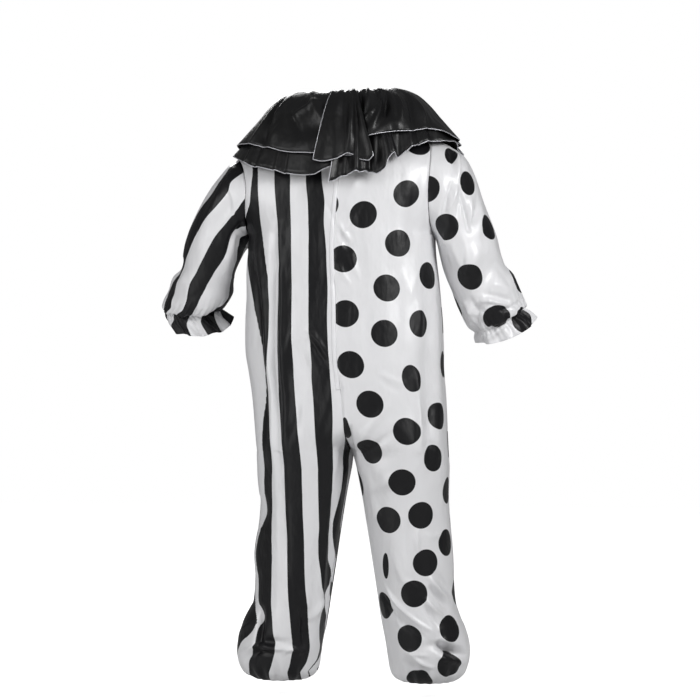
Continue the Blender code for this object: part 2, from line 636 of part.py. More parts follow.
def suit_surfaces():
    """Outer faces of the panels and sleeves, sewn edge to edge."""
    pieces = {}
    for side, sign in (("left", 1), ("right", -1)):
        hole = ARMHOLES[side]
        to_side = mirrored if sign < 0 else list
        for face_name, face in (("back", 1), ("front", -1)):
            rows = to_side(panel_rows(hole, face))
            pieces[f"{face_name}_{side}"] = loft(rows, flip=sign * face < 0)
        rows = to_side(sleeve_rows(hole, SLEEVES[side]))
        pieces[f"sleeve_{side}"] = loft(rows, closed=True, flip=sign > 0)
    normals = sew_normals(pieces)
    return {name: (add_folds(points, normals[name]), triangles)
            for name, (points, triangles) in pieces.items()}


def closing_strip(points, normals):
    """Rows of the strip: points of the back panel beside the centre seam, moved out."""
    starts = np.cumsum([0] + [len(row) for row in panel_rows(ARMHOLES["left"], 1)])
    rows = []
    for first, after in zip(starts[:-1], starts[1:]):
        edge, beside = after - 1, after - 2
        if points[edge, 2] < STRIP_LOW - 0.01 or edge == len(points) - 1:
            continue
        share = STRIP_WIDTH / np.linalg.norm(points[beside] - points[edge])
        reach = points[edge] + share * (points[beside] - points[edge])
        ends = np.stack([reach, points[edge]])
        rows.append(ring_row(ends + (SEAM_GAP + STRIP_CLOTH) * normals[[beside, edge]]))
    return rows


def build():
    for obj in list(bpy.data.objects):
        bpy.data.objects.remove(obj, do_unlink=True)
    costume = bpy.data.collections.new("clown_costume")
    bpy.context.scene.collection.children.link(costume)
    cloths = {
        "left": satin("striped_satin", (0.62, 0.62, 0.64), 0.38),
        "right": satin("dotted_satin", (0.86, 0.86, 0.88), 0.38),
        "collar": satin("black_satin", (0.012, 0.012, 0.014), 0.32),
    }

    surfaces = suit_surfaces()
    normals = sew_normals(surfaces)
    for name, (points, triangles) in surfaces.items():
        edge_in = draw_in(points, triangles, normals[name], SEAM_GAP / 2)
        outer, faces = wall(edge_in, triangles, normals[name], CLOTH)
        make_object(name, (place(outer), faces), cloths[name.split("_")[1]], costume)

    strip = closing_strip(surfaces["back_left"][0], normals["back_left"])
    points, triangles = loft(strip)
    outer, faces = wall(points, triangles, point_normals(points, triangles), STRIP_CLOTH)
    make_object("back_placket", (place(outer), faces), cloths["left"], costume)

    collar_rows = {
        "collar_band": band_rows(),
        "collar_upper": ruffle_rows(UPPER_SPANS, UPPER_ROWS, UPPER_HEM, UPPER_SEAT, UPPER_OUTSET),
        "collar_lower": ruffle_rows(LOWER_SPANS, LOWER_ROWS, LOWER_HEM, LOWER_SEAT, 0.0),
    }
    for name, rows in collar_rows.items():
        points, triangles = loft(rows)
        outer, faces = wall(points, triangles, point_normals(points, triangles), CLOTH)
        make_object(name, (place(outer), faces), cloths["collar"], costume)


build()
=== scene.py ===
# %% [markdown]
# # A two-tone clown suit with a ruffle collar
# The suit is one loose garment sewn from long panels: striped satin on the wearer's left half,
# dotted satin on the right.  Two black ruffles hang from a neckband.  The cloth is drawn as thin
# curved surfaces.  Each one is a formula of two numbers, evaluated for a whole grid at once.
#
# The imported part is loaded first, as a fixed frame.  It gives the size and place of everything.

# %% Load the frame
import math

import bpy
import numpy as np
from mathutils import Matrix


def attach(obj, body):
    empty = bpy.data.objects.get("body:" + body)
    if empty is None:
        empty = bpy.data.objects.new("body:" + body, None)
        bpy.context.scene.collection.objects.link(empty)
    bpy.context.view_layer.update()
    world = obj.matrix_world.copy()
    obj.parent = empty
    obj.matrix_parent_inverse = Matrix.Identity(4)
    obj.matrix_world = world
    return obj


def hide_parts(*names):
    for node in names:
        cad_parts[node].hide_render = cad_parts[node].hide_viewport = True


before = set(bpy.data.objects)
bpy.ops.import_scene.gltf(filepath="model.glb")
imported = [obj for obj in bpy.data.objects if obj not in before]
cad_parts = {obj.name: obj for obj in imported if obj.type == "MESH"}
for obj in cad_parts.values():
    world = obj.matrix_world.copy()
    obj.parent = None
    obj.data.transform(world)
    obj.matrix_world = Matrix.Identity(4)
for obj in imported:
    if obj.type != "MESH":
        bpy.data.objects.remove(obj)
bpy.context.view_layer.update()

print("solids:", sorted(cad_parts))

# %% [markdown]
# ## Tables and smooth curves
# A dressmaker works from a table of measures: so wide at the hip, so wide at the knee.  The suit's
# measures are kept in the same way, with a named column for each.  Between two rows the measure
# follows a smooth curve.  A plain cubic curve would swing past the measures and make bulges, so a
# monotone one is used.  The tables are written in millimetres and read into metres.  Heights are
# above the soles of the wearer's feet.


# %% Tables and curves
def table(names, rows, plain=""):
    """Columns of a table as arrays, by name: millimetres made metres, but for the plain columns.

    A row ends at a semicolon or at the line's end.
    """
    rows = [row.split() for row in rows.replace("\n", ";").split(";") if row.strip()]
    columns = zip(names.split(), np.array(rows, float).T)
    return {name: c if name in plain.split() else c / 1000 for name, c in columns}


def follow(at, knots, values):
    """Cubic curve through points that never swings past them.

    Each inner slope is the harmonic mean of the slopes beside it, or 0 where they disagree.  The
    values may be numbers or whole arrays, one for each knot.
    """
    knots, values = np.asarray(knots, float), np.asarray(values, float)
    if knots[0] > knots[-1]:
        knots, values = knots[::-1], values[::-1]
    wide = (-1,) + (1,) * (values.ndim - 1)
    span = np.diff(knots).reshape(wide)
    grade = np.diff(values, axis=0) / span
    both, total = grade[:-1] * grade[1:], grade[:-1] + grade[1:]
    inner = np.where(both > 0, 2 * both / np.where(both > 0, total, 1.0), 0.0)
    slope = np.concatenate((grade[:1], inner, grade[-1:]))
    at = np.clip(np.asarray(at, float), knots[0], knots[-1])
    i = np.clip(np.searchsorted(knots, at, side="right") - 1, 0, len(knots) - 2)
    t = (at - knots[i]) / np.diff(knots)[i]
    t, run = (a.reshape(a.shape + (1,) * (values.ndim - 1)) for a in (t, np.diff(knots)[i]))
    start = (1 + 2 * t) * (1 - t) ** 2 * values[i] + t * (1 - t) ** 2 * run * slope[i]
    return start + t * t * (3 - 2 * t) * values[i + 1] - t * t * (1 - t) * run * slope[i + 1]


def read(data, column, at):
    """A table's column at a height (its first column)."""
    return follow(at, next(iter(data.values())), data[column])


def ease(t):
    """Smooth step from 0 to 1: three t squared less two t cubed."""
    t = np.clip(t, 0.0, 1.0)
    return t * t * (3 - 2 * t)


# %% The suit's measures
NECK_HEIGHT = 1.545         # the frame's origin: everything is lowered by this much
NECK_HALF_WIDTH = 0.086
NECK_HALF_DEPTH = 0.078
FRONT_NECK_DROP = 0.055
CROTCH_HEIGHT = 0.642
RISE_LENGTH = 0.130
ARMPIT_HEIGHT = 1.200
ARMHOLE_HALF_DEPTH = 0.115
SHOULDER_LEAN = 40.0
BACK_SHOULDER_DROP = 0.022
FRONT_SHOULDER_DROP = 0.050

TRUNK = table("height half_width back front square", """
    642 249.5 158 150 2.5; 680 250.5 165 156 2.6; 742 252 172 162 2.7; 783 253 175 164 2.7
    846 255 178 166 2.7; 910 259 179 168 2.7; 970 258 176 168 2.7; 1035 254 172 166 2.7
    1098 251 169 163 2.7; 1160 246 167 160 2.7; 1200 244 166 157 2.6; 1300 240 164 150 2.3
    1360 240 156 137 2.1; 1420 240 141 113 2; 1490 200 110 80 2; 1545 86 78 60 2
""", plain="square")
LEG = table("height centre half_width back front square", """
    45 192 73.5 72 70 2; 53 192.5 87 86 82 2; 68 193.5 98.5 100 95 2; 92 194.5 104.5 110 105 2
    123 192 106.5 116 110 2; 186 180 105.8 117 112 2; 249 165 101 115 112 2
    375 152 107 122 118 2; 500 137 111 132 126 2.2; 600 128.5 120.5 150 142 2.4
    642 124.75 124.75 158 150 2.5
""", plain="square")
SWAY = table("height shift", """
    600 0; 660 5; 780 13; 900 25; 1035 28; 1160 33; 1300 25; 1400 15; 1500 12
""")
ARMHOLES = {
    "left": dict(armpit=0.2440, middle=0.2460, tip=0.2960, tip_height=1.405),
    "right": dict(armpit=0.2440, middle=0.2260, tip=0.2180, tip_height=1.459),
}
SLEEVE_NAMES = "outer outer_height inner inner_height half_depth forward dip"
SLEEVES = {
    "left": table(SLEEVE_NAMES, """
        308 1396 247.5 1190 116 0 0; 320.5 1384 251.5 1178 114 1 0; 355 1337 257 1161 110 3 2
        388 1276 264 1143 105 7 4; 418 1197 274 1126 100 12 6; 431 1138 289 1103 96 18 9
        459 1102 299 1080 94 25 12; 473 1064 302 1054 92 32 15; 488 1036 313 1034 88 38 18
        492 1020 336 1019 78 42 20; 485 1012 363 1016 62 45 20; 484 996 340 1002 68 50 22
        465 970 308 977 80 56 24
    """, plain="dip"),
    "right": table(SLEEVE_NAMES, """
        266 1433 247.5 1188 116 0 0; 302 1408 251 1177 114 1 0; 336 1354 255 1160 110 3 2
        365 1286 259 1140 105 7 4; 404 1198 263 1120 100 12 6; 421 1136 271 1092 96 18 9
        448 1098 282 1062 94 25 12; 459 1064 292 1030 92 32 15; 468 1036 308 998 88 38 18
        472 1021 324 972 79 42 20; 464 1014 340 957 64 45 20; 484 1001 339 946 70 50 22
        498 986 342 935 78 56 24
    """, plain="dip"),
}
print("suit: neck", NECK_HEIGHT, "crotch", CROTCH_HEIGHT, "armpit", ARMPIT_HEIGHT)

# %% [markdown]
# ## The panels
# Each panel of the real suit runs from the ankle to the neck in one length of cloth, so one
# surface makes it.  A row of its grid is a stretch of a squared ellipse: half of a leg's section
# low down, a quarter of the trunk's above.  Everything that varies with height is worked out as an
# array over the rows, and everything that varies round the body as an array over the columns.  The
# columns are then spread by distance along the cloth, closer together at the seams.


# %% Panel surfaces
PANEL_ROWS = dict(leg=130, rise=32, trunk=98, armhole=58, shoulder=34)
PANEL_COLUMNS = 134
DENSE_COLUMNS = 241         # worked out first; the even ones are read between them
SEAM_CROWDING = 0.75        # how much closer together the columns are at both seams
HEM_CROWDING = 1.35         # a power above 1 puts a leg's rows closer together at its hem
HEM_HEIGHT = 0.045
ANKLE_WAVES = 9             # gathers across one panel where the elastic draws the ankle in
ANKLE_GATHER = 0.045
ANKLE_GATHER_TOP = 0.110
ANKLE_GATHER_FADE = 0.06


def quarter_rows(hole, face):
    """Measures of every row of a panel: a dictionary of arrays, ankle first.

    angle runs from a0 to a1 along a row; the row leaves the point (x_out, y_out, z_out) and turns
    about the middle x to reach the depth d and the height z_in.
    """
    depth = "back" if face > 0 else "front"
    leg = np.linspace(0.0, 1.0, PANEL_ROWS["leg"]) ** HEM_CROWDING
    h = HEM_HEIGHT + (CROTCH_HEIGHT - HEM_HEIGHT) * leg
    centre, width = read(LEG, "centre", h), read(LEG, "half_width", h)
    none, half_turn = np.zeros_like(h), np.full_like(h, math.pi)
    parts = [(centre, centre + width, none, h, read(LEG, depth, h), h, read(LEG, "square", h),
              none, half_turn)]

    share = np.linspace(0.0, 1.0, PANEL_ROWS["rise"] + 1)[1:]
    h = CROTCH_HEIGHT + RISE_LENGTH * share
    width, square = read(TRUNK, "half_width", h), read(TRUNK, "square", h)
    centre = width / 2 * (1 - ease(share))
    last = np.arccos(-((centre / (width - centre)) ** (square / 2)))
    none = np.zeros_like(h)
    parts.append((centre, width, none, h, read(TRUNK, depth, h), h, square, none, last))

    low = CROTCH_HEIGHT + RISE_LENGTH
    h = np.linspace(low, ARMPIT_HEIGHT, PANEL_ROWS["trunk"] + 1)[1:]
    none, square_turn = np.zeros_like(h), np.full_like(h, math.pi / 2)
    parts.append((none, read(TRUNK, "half_width", h), none, h, read(TRUNK, depth, h), h,
                  read(TRUNK, "square", h), none, square_turn))

    share = np.linspace(0.0, 1.0, PANEL_ROWS["armhole"] + 1)[1:]
    x, y, z = armhole_curve(hole, share)
    centre_top = hole["tip_height"] - (BACK_SHOULDER_DROP if face > 0 else FRONT_SHOULDER_DROP)
    climb = (share + (1 - np.cos(math.pi * share)) / 2) / 2
    h = ARMPIT_HEIGHT + (centre_top - ARMPIT_HEIGHT) * climb
    d, square = read(TRUNK, depth, h), read(TRUNK, "square", h)
    start = np.maximum(np.arcsin((y / d) ** (square / 2)),
                       math.radians(SHOULDER_LEAN) * ease(share / 0.6))
    parts.append((0 * h, x, y, z, d, h, square, start, np.full_like(h, math.pi / 2)))

    share = np.linspace(0.0, 1.0, PANEL_ROWS["shoulder"] + 1)[1:]
    neck_centre = NECK_HEIGHT - (0.0 if face > 0 else FRONT_NECK_DROP)
    mix = lambda a, b: a + (b - a) * share
    tip_depth = float(read(TRUNK, depth, centre_top))
    parts.append((0 * share, mix(hole["tip"], NECK_HALF_WIDTH), 0 * share,
                  mix(hole["tip_height"], NECK_HEIGHT), mix(tip_depth, NECK_HALF_DEPTH),
                  mix(centre_top, neck_centre), 2 + 0 * share,
                  math.radians(SHOULDER_LEAN) * (1 - share), math.pi / 2 + 0 * share))
    names = "middle x_out y_out z_out d z_in square a0 a1".split()
    return dict(zip(names, (np.concatenate(column)[:, None] for column in zip(*parts))))


# %% Armhole, panel and sleeve grids
SLEEVE_ROWS, SLEEVE_COLUMNS = 130, 168
SLEEVE_PACE = (0, 3, 6.2, 9.4, 11.3, 13)    # the section reached after each fifth of the rows


def armhole_curve(hole, share):
    """The armhole from the armpit (0) to the shoulder's tip (1): x, half depth and height.

    The half depth goes as the sine of half a turn x share, and the height as 1 less its cosine.
    """
    x = follow(share, (0.0, 0.5, 1.0), (hole["armpit"], hole["middle"], hole["tip"]))
    lift = (1 - np.cos(math.pi * share)) / 2
    return (x, ARMHOLE_HALF_DEPTH * np.sin(math.pi * share),
            ARMPIT_HEIGHT + (hole["tip_height"] - ARMPIT_HEIGHT) * lift)


def run_across(points):
    """Distance along each row of points from its first one: the sum of the steps so far."""
    steps = np.linalg.norm(np.diff(points, axis=-2), axis=-1)
    return np.concatenate([0 * steps[..., :1], steps.cumsum(axis=-1)], axis=-1)


def panel_grid(hole, face):
    """Points of a panel, rows by columns, and each point's distance from the outer seam.

    Along a row x goes as cos(angle) and y as sin(angle), each to the power 2 / square, so that a
    square above 2 fills the ellipse's corners.  Near the hem a ripple swells and draws in both.
    """
    m = quarter_rows(hole, face)
    u = np.linspace(0.0, 1.0, DENSE_COLUMNS)[None, :]
    angle = m["a0"] + (m["a1"] - m["a0"]) * u
    power = 2 / m["square"]
    across = np.sign(np.cos(angle)) * (np.abs(np.cos(angle)) / np.cos(m["a0"])) ** power
    low = np.sin(m["a0"]) ** power
    through = (np.maximum(np.sin(angle), 0.0) ** power - low) / (1 - low)
    gather = ANKLE_GATHER * ease((ANKLE_GATHER_TOP - m["z_out"]) / ANKLE_GATHER_FADE)
    ripple = 1 + gather * np.cos(2 * ANKLE_WAVES * angle) * np.sin(angle)
    x = m["middle"] + (m["x_out"] - m["middle"]) * across * ripple
    y = face * (m["y_out"] + (m["d"] - m["y_out"]) * through * ripple)
    z = m["z_out"] + (m["z_in"] - m["z_out"]) * np.sin(math.pi / 2 * u)
    dense = np.stack([x, y, z + 0 * x], axis=2)
    run = run_across(dense)
    even = np.linspace(0.0, 1.0, PANEL_COLUMNS + 1)
    share = even - SEAM_CROWDING * np.sin(2 * math.pi * even) / (2 * math.pi)
    distance = run[:, -1:] * share
    rows = [[np.interp(d, r, p) for p in point.T] for d, r, point in zip(distance, run, dense)]
    return np.array(rows).transpose(0, 2, 1), distance


def sleeve_grid(hole, sections):
    """Points of a sleeve: rings through the armhole and the sections, joined by smooth curves.

    A ring is an ellipse between an outer and an inner point, as deep as its half_depth, dipped at
    the back.  Returns the points and the section number of each row.
    """
    angle = np.linspace(0.0, 2 * math.pi, SLEEVE_COLUMNS + 1)
    x, half, z = armhole_curve(hole, np.abs(1 - angle / math.pi))
    rings = [np.stack([x, np.where(angle < math.pi, half, -half), z], axis=1)]
    for i in range(len(sections["outer"])):
        s = {name: values[i] for name, values in sections.items()}
        outer = np.array((s["outer"], -s["forward"], s["outer_height"]))
        inner = np.array((s["inner"], -s["forward"], s["inner_height"]))
        dip = math.radians(s["dip"])
        back = s["half_depth"] * np.array((0.0, math.cos(dip), -math.sin(dip)))
        rings.append((outer + inner) / 2 + np.outer(np.cos(angle), (outer - inner) / 2)
                     + np.outer(np.sin(angle), back))
    fifths = np.linspace(0, 1, len(SLEEVE_PACE))
    at = np.interp(np.linspace(0, 1, SLEEVE_ROWS), fifths, SLEEVE_PACE)
    return follow(at, np.arange(len(rings)), np.array(rings)), at

# %% [markdown]
# ## Folds and creases
# Worn satin is never smooth.  Long soft folds hang from the shoulders and the seat, and short ones
# break over the elastic at the wrists and ankles.  A cloth simulation could make them, but not
# where they are wanted.  So each main fold is given as a line on the back or the front,
# with a half width and a rise.  The cloth is then moved along its own normal.  Fainter creases
# between the main ones come from a fixed random draw, because no two of them need a place.


# %% Folds given one by one
FOLDS = table("side x_from height_from x_mid height_mid x_to height_to half_width rise", """
    1 155 1249 161 906 176 574 11 -8.1; 1 170 726 168 470 157 260 10 -8.1
    1 142 1236 141 956 159 621 9 6.5; 1 234 1203 202 906 230 568 12 -10.8
    1 211 1190 185 906 186 647 10 6; 1 78 961 48 926 23 881 9 8; 1 74 936 48 906 31 857 12 -7.5
    1 94 931 89 872 93 807 20 -9; 1 99 1337 85 1135 89 931 18 3.6; 1 44 541 56 343 88 119 9 -8.4
    1 56 515 76 309 97 123 10 6; 1 71 260 87 234 106 200 7 7.2; 0 246 642 244 581 243 521 16 4.8
    0 234 528 227 483 235 439 16 -7.2; 0 251 433 257 378 245 321 16 4.8
    0 266 240 295 140 271 51 21 12; 1 237 245 233 185 251 93 9 -14.4
    1 239 132 190 136 138 132 7 7.2; 1 236 149 200 153 151 149 10 -7.2
    1 115 240 113 185 125 127 13 -7.2; 1 -199 857 -191 753 -190 588 7 7.2
    1 -223 1130 -223 852 -206 548 13 -9.6; 1 -245 1061 -245 852 -229 621 10 4.8
    1 -10 642 -63 702 -120 772 10 6; 1 -17 628 -70 656 -140 707 10 -6
    1 -18 716 -11 665 -9 601 6 -10.8; 1 -5 684 16 621 31 548 8 -6
    1 -5 1235 -26 1202 -48 1175 6 4.2; 1 -10 1205 -29 1175 -49 1150 7 -4.2
    1 -11 1130 -22 1095 -43 1066 7 3.6; 1 -4 842 1 777 7 688 7 -4.8
    1 -99 852 -128 832 -164 817 8 2; 1 -99 837 -127 812 -157 797 8 -2
    1 -56 1207 -66 1135 -62 1056 18 -4.8; 1 -153 1120 -158 1006 -147 867 16 -4.2
    1 -62 1358 -34 1303 -16 1252 13 4.2; 1 -176 451 -174 414 -177 384 6 7.2
    1 -43 608 -57 535 -66 458 9 4.8; 0 -282 200 -292 140 -285 89 16 6
    0 423 1152 441 1123 450 1086 13 -7.2; 0 253 1173 268 1136 294 1096 13 -7.2
    1 240 1236 272 1200 296 1143 8 -10.8; 1 266 1204 286 1160 306 1094 8 7.2
    1 251 1204 264 1184 269 1136 6 -8.4; 1 311 1345 333 1280 368 1224 13 4.8
    1 276 1309 302 1254 334 1200 16 -4.8; 1 399 1131 451 1082 440 1039 13 -6
    1 -417 1145 -387 1096 -371 1041 24 -10.5; 1 -364 1166 -347 1132 -329 1094 16 7.5
    1 -341 1026 -333 985 -334 949 8 9; 1 -354 1022 -352 982 -357 940 9 -9
    1 -370 924 -396 948 -422 971 7 9; 1 -404 1009 -436 1013 -466 1035 5 -7.5
    0 -414 1136 -428 1100 -441 1066 13 -6; 1 -86 304 -136 240 -224 180 4 9
    1 -75 282 -125 219 -210 162 7 -7.5; 1 -103 260 -117 229 -130 195 4 6
    1 -139 315 -158 309 -179 287 5 4.5; 1 -153 136 -181 108 -219 93 5 9
    1 -140 115 -170 93 -205 76 6 -7.5; 1 -138 127 -172 127 -205 123 4 6
    1 -182 144 -225 149 -286 123 12 -9; 1 -227 167 -257 158 -288 140 5 6
    1 -186 777 -193 712 -189 621 8 4; 1 -37 635 -77 628 -133 647 21 -6
    1 -130 581 -101 568 -60 541 13 6; 1 -202 670 -225 661 -246 651 9 -4
    1 -189 439 -216 427 -232 439 7 4.5; 1 -154 470 -148 408 -156 338 11 -4.5
    1 -127 367 -131 332 -154 293 8 3; 1 -286 1339 -278 1290 -271 1249 4 -7.5
    1 -299 1325 -294 1292 -284 1252 4 7.5; 1 -310 1314 -307 1277 -304 1239 4 -5
    1 -304 1314 -328 1250 -338 1202 5 -10; 1 -349 1300 -351 1245 -327 1207 5 -8.8
    1 -334 1299 -336 1263 -341 1217 5 7.5; 1 -354 1286 -366 1232 -358 1183 6 5
    1 -285 1421 -294 1378 -300 1328 5 8.8; 1 -297 1412 -303 1393 -304 1361 5 -6.3
    1 -268 1428 -280 1386 -284 1346 5 -6; 1 -270 1174 -276 1137 -292 1087 11 -6
    1 -293 1186 -304 1146 -321 1103 8 3.7; 1 -359 1028 -392 1029 -445 1010 4 8.8
    1 -367 1045 -407 1040 -451 1027 8 -7.5; 1 -286 1219 -278 1196 -278 1165 7 3.7
    1 184 787 186 635 177 430 13 4.5; 1 98 792 98 726 99 651 13 3; 1 111 956 129 896 140 842 9 4
    1 133 1190 123 1130 126 1056 9 3; 1 46 1245 42 1160 39 1056 11 -3
    1 166 367 160 287 155 209 8 4; 1 133 260 120 195 124 132 8 -6
    1 287 108 243 140 203 136 5 7.5; 1 277 93 240 123 192 119 6 -7.5
    1 173 119 148 132 122 119 5 6; 1 294 140 281 171 254 200 5 6
    1 -45 1170 -49 1125 -66 1081 8 3; 1 -92 1031 -78 956 -88 867 13 -3
    1 -147 1297 -163 1209 -159 1125 16 3; 1 -201 1362 -195 1260 -206 1135 13 -4
    1 -222 1081 -215 981 -224 877 11 4; 1 -240 1031 -236 916 -239 802 8 -5
    1 -204 327 -222 297 -249 262 6 12; 1 -202 302 -224 272 -253 234 6 -10.5
    1 -192 272 -215 243 -242 216 5 12; 1 -220 342 -239 307 -260 267 6 -7.5
    1 -225 160 -255 136 -295 114 9 -25.5; 1 -223 125 -251 114 -287 96 7 9
    1 -191 253 -209 225 -233 193 5 -9; 1 -317 1032 -325 1015 -358 985 6 5
    1 -333 1041 -349 1015 -374 1000 6 -5; 1 -382 1060 -404 1072 -442 1057 7 2.5
    1 -262 1247 -267 1272 -276 1304 5 -4
""", plain="side")
FRONT_ECHO = dict(inward=0.018, within=0.30, lower=0.045, share=0.85)
print("folds placed by hand:", len(FOLDS["side"]))


# %% Depth of the folds
ARC_POINTS = 13
FOLD_REACH = 2.5            # half widths from a fold's line to where its bell has died away
FOLD_TAPER = 0.7            # a power below 1 keeps a fold's depth to near its ends
CREASE_RISE = 0.0018


def fold_depth(points, normals, folds):
    """Sum over the folds: rise x taper along the fold x a bell of the distance from it.

    A fold is an arc through three points, seen from behind.  Side 1 shows behind, side -1 in
    front, and side 0 all round the edge.
    """
    depth = np.zeros(points.shape[:2])
    t = np.linspace(0.0, 1.0, ARC_POINTS)[:, None]
    flat = points[..., (0, 2)]
    for side, x0, z0, x1, z1, x2, z2, half_width, rise in zip(*folds.values()):
        a, m, b = np.array((x0, z0)), np.array((x1, z1)), np.array((x2, z2))
        arc = a * (1 - t) * (1 - 2 * t) + m * 4 * t * (1 - t) + b * t * (2 * t - 1)
        reach = FOLD_REACH * half_width
        near = np.all((flat > arc.min(axis=0) - reach) & (flat < arc.max(axis=0) + reach), axis=2)
        if not near.any():
            continue
        offset = flat[near][:, None] - arc[None, :-1]
        step = np.diff(arc, axis=0)
        share = np.clip((offset * step).sum(axis=2) / (step * step).sum(axis=1), 0.0, 1.0)
        distance = np.linalg.norm(offset - share[..., None] * step, axis=2)
        best = distance.argmin(axis=1)
        rows = np.arange(len(best))
        along = (best + share[rows, best]) / len(step)
        taper = np.sin(math.pi * along) ** FOLD_TAPER
        facing = ease(side * normals[near][:, 1] / 0.5) if side else 1.0
        depth[near] += rise * taper * facing * np.exp(-(distance[rows, best] / half_width) ** 2)
    return depth


def all_folds(points, normals):
    """The folds behind, and a fainter echo of them in front, a little inward and lower."""
    behind = fold_depth(points, normals, FOLDS)
    inner = np.abs(points[..., 0]) < FRONT_ECHO["within"]
    shift = np.sign(points[..., 0]) * FRONT_ECHO["inward"] * inner
    moved = points + np.stack([shift, 0 * shift, FRONT_ECHO["lower"] + 0 * shift], axis=-1)
    echo = {name: values[FOLDS["side"] > 0] for name, values in FOLDS.items()}
    return behind + FRONT_ECHO["share"] * fold_depth(moved, normals * (1, -1, 1), echo)


def faint_creases(points, normals, seed, count):
    """Small folds: a fixed random draw of short leaning arcs on both faces of a piece."""
    draw = np.random.default_rng(seed)
    low, high = points.min(axis=(0, 1)), points.max(axis=(0, 1))
    x0, z0 = draw.uniform(low[0], high[0], count), draw.uniform(low[2], high[2], count)
    length, lean = draw.uniform(0.05, 0.20, count), draw.normal(0.0, 0.35, count)
    bend = draw.normal(0.0, 0.010, count)
    x2, z2 = x0 + length * np.sin(lean), z0 - length * np.cos(lean)
    return fold_depth(points, normals, dict(
        side=draw.choice((-1.0, 1.0), count), x0=x0, z0=z0, x1=(x0 + x2) / 2 + bend,
        z1=(z0 + z2) / 2, x2=x2, z2=z2, width=draw.uniform(0.006, 0.014, count),
        rise=CREASE_RISE * draw.choice((-1.0, 1.0), count) * draw.uniform(0.4, 1.3, count)))


# %% Normals and place
def grid_normals(points, outward, closed=False):
    """Unit normals of a grid: the cross product of its two directions, turned outward.

    On a closed grid the last column repeats the first, so both take the same neighbours.
    """
    down, across = np.gradient(points, axis=0), np.gradient(points, axis=1)
    if closed:
        across[:, 0] = across[:, -1] = (points[:, 1] - points[:, -2]) / 2
    normals = np.cross(across, down) * outward
    return normals / np.maximum(np.linalg.norm(normals, axis=2, keepdims=True), 1e-12)


def place(points):
    """Sway the suit with its wearer and lower it to the frame's origin."""
    shift = read(SWAY, "shift", points[..., 2]) - read(SWAY, "shift", NECK_HEIGHT)
    return points + np.stack([shift, 0 * shift, 0 * shift - NECK_HEIGHT], axis=-1)


# %% [markdown]
# ## From a grid to a mesh
# A grid of points becomes a mesh of quads in one call.  Numbers that the finish needs, such as the
# distance to the next stripe, are stored with the points as attributes.  The Solidify modifier
# then gives the cloth its thickness, inwards from the face that shows.


# %% Mesh helpers
CLOTH = 0.0012


def make_piece(name, grid, close=False, thickness=CLOTH, attributes=None, turn=False):
    """A mesh object from a grid of points.

    close joins the last column to the first.  attributes maps a name to a value for each point.
    turn reverses the faces.
    """
    rows, columns = grid.shape[:2]
    used = columns - 1 if close else columns
    index = np.arange(rows * used).reshape(rows, used)
    if close:
        index = np.concatenate([index, index[:, :1]], axis=1)
    quads = np.stack([index[:-1, :-1], index[:-1, 1:], index[1:, 1:], index[1:, :-1]], axis=2)
    quads = quads.reshape(-1, 4)
    if turn:
        quads = quads[:, ::-1]
    mesh = bpy.data.meshes.new(name)
    mesh.vertices.add(rows * used)
    mesh.vertices.foreach_set("co", grid[:, :used].ravel())
    mesh.loops.add(quads.size)
    mesh.loops.foreach_set("vertex_index", quads.ravel())
    mesh.polygons.add(len(quads))
    mesh.polygons.foreach_set("loop_start", np.arange(0, quads.size, 4))
    mesh.update(calc_edges=True)
    for label, values in (attributes or {}).items():
        layer = mesh.attributes.new(label, "FLOAT", "POINT")
        layer.data.foreach_set("value", np.ascontiguousarray(values[:, :used]).ravel())
    mesh.shade_smooth()
    piece = bpy.data.objects.new(name, mesh)
    bpy.context.scene.collection.objects.link(piece)
    if thickness:
        wall = piece.modifiers.new("cloth", "SOLIDIFY")
        wall.thickness = thickness
        wall.offset = -1.0
    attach(piece, "root")
    print(f"{name}: {rows} x {used} points")
    return piece


# %% [markdown]
# ## Stripes and dots
# Both cloths are printed, so the pattern follows the cloth and is cut at the seams.  For the
# stripes each point needs one number: its distance along the cloth from a line that the cutter
# laid along the grain.  Where a deep fold hides some cloth, that number jumps ahead.  For the dots
# each point holds its distance from the nearest dot's centre.  The finish only compares these
# numbers with a stripe's or a dot's half width, so the edges are sharp at any distance.


# %% Stripe and dot measures
STRIPE_PERIOD = 0.089
DOT_RADIUS = 0.0345
DOT_PITCH = 0.124           # between neighbouring dots of the printed repeat
REPEAT_TURN = math.radians(14.0)

FRONT_GRAIN = table("height across", """
    45 180; 230 165; 370 150; 500 142; 767 140; 1200 138; 1450 145
""")
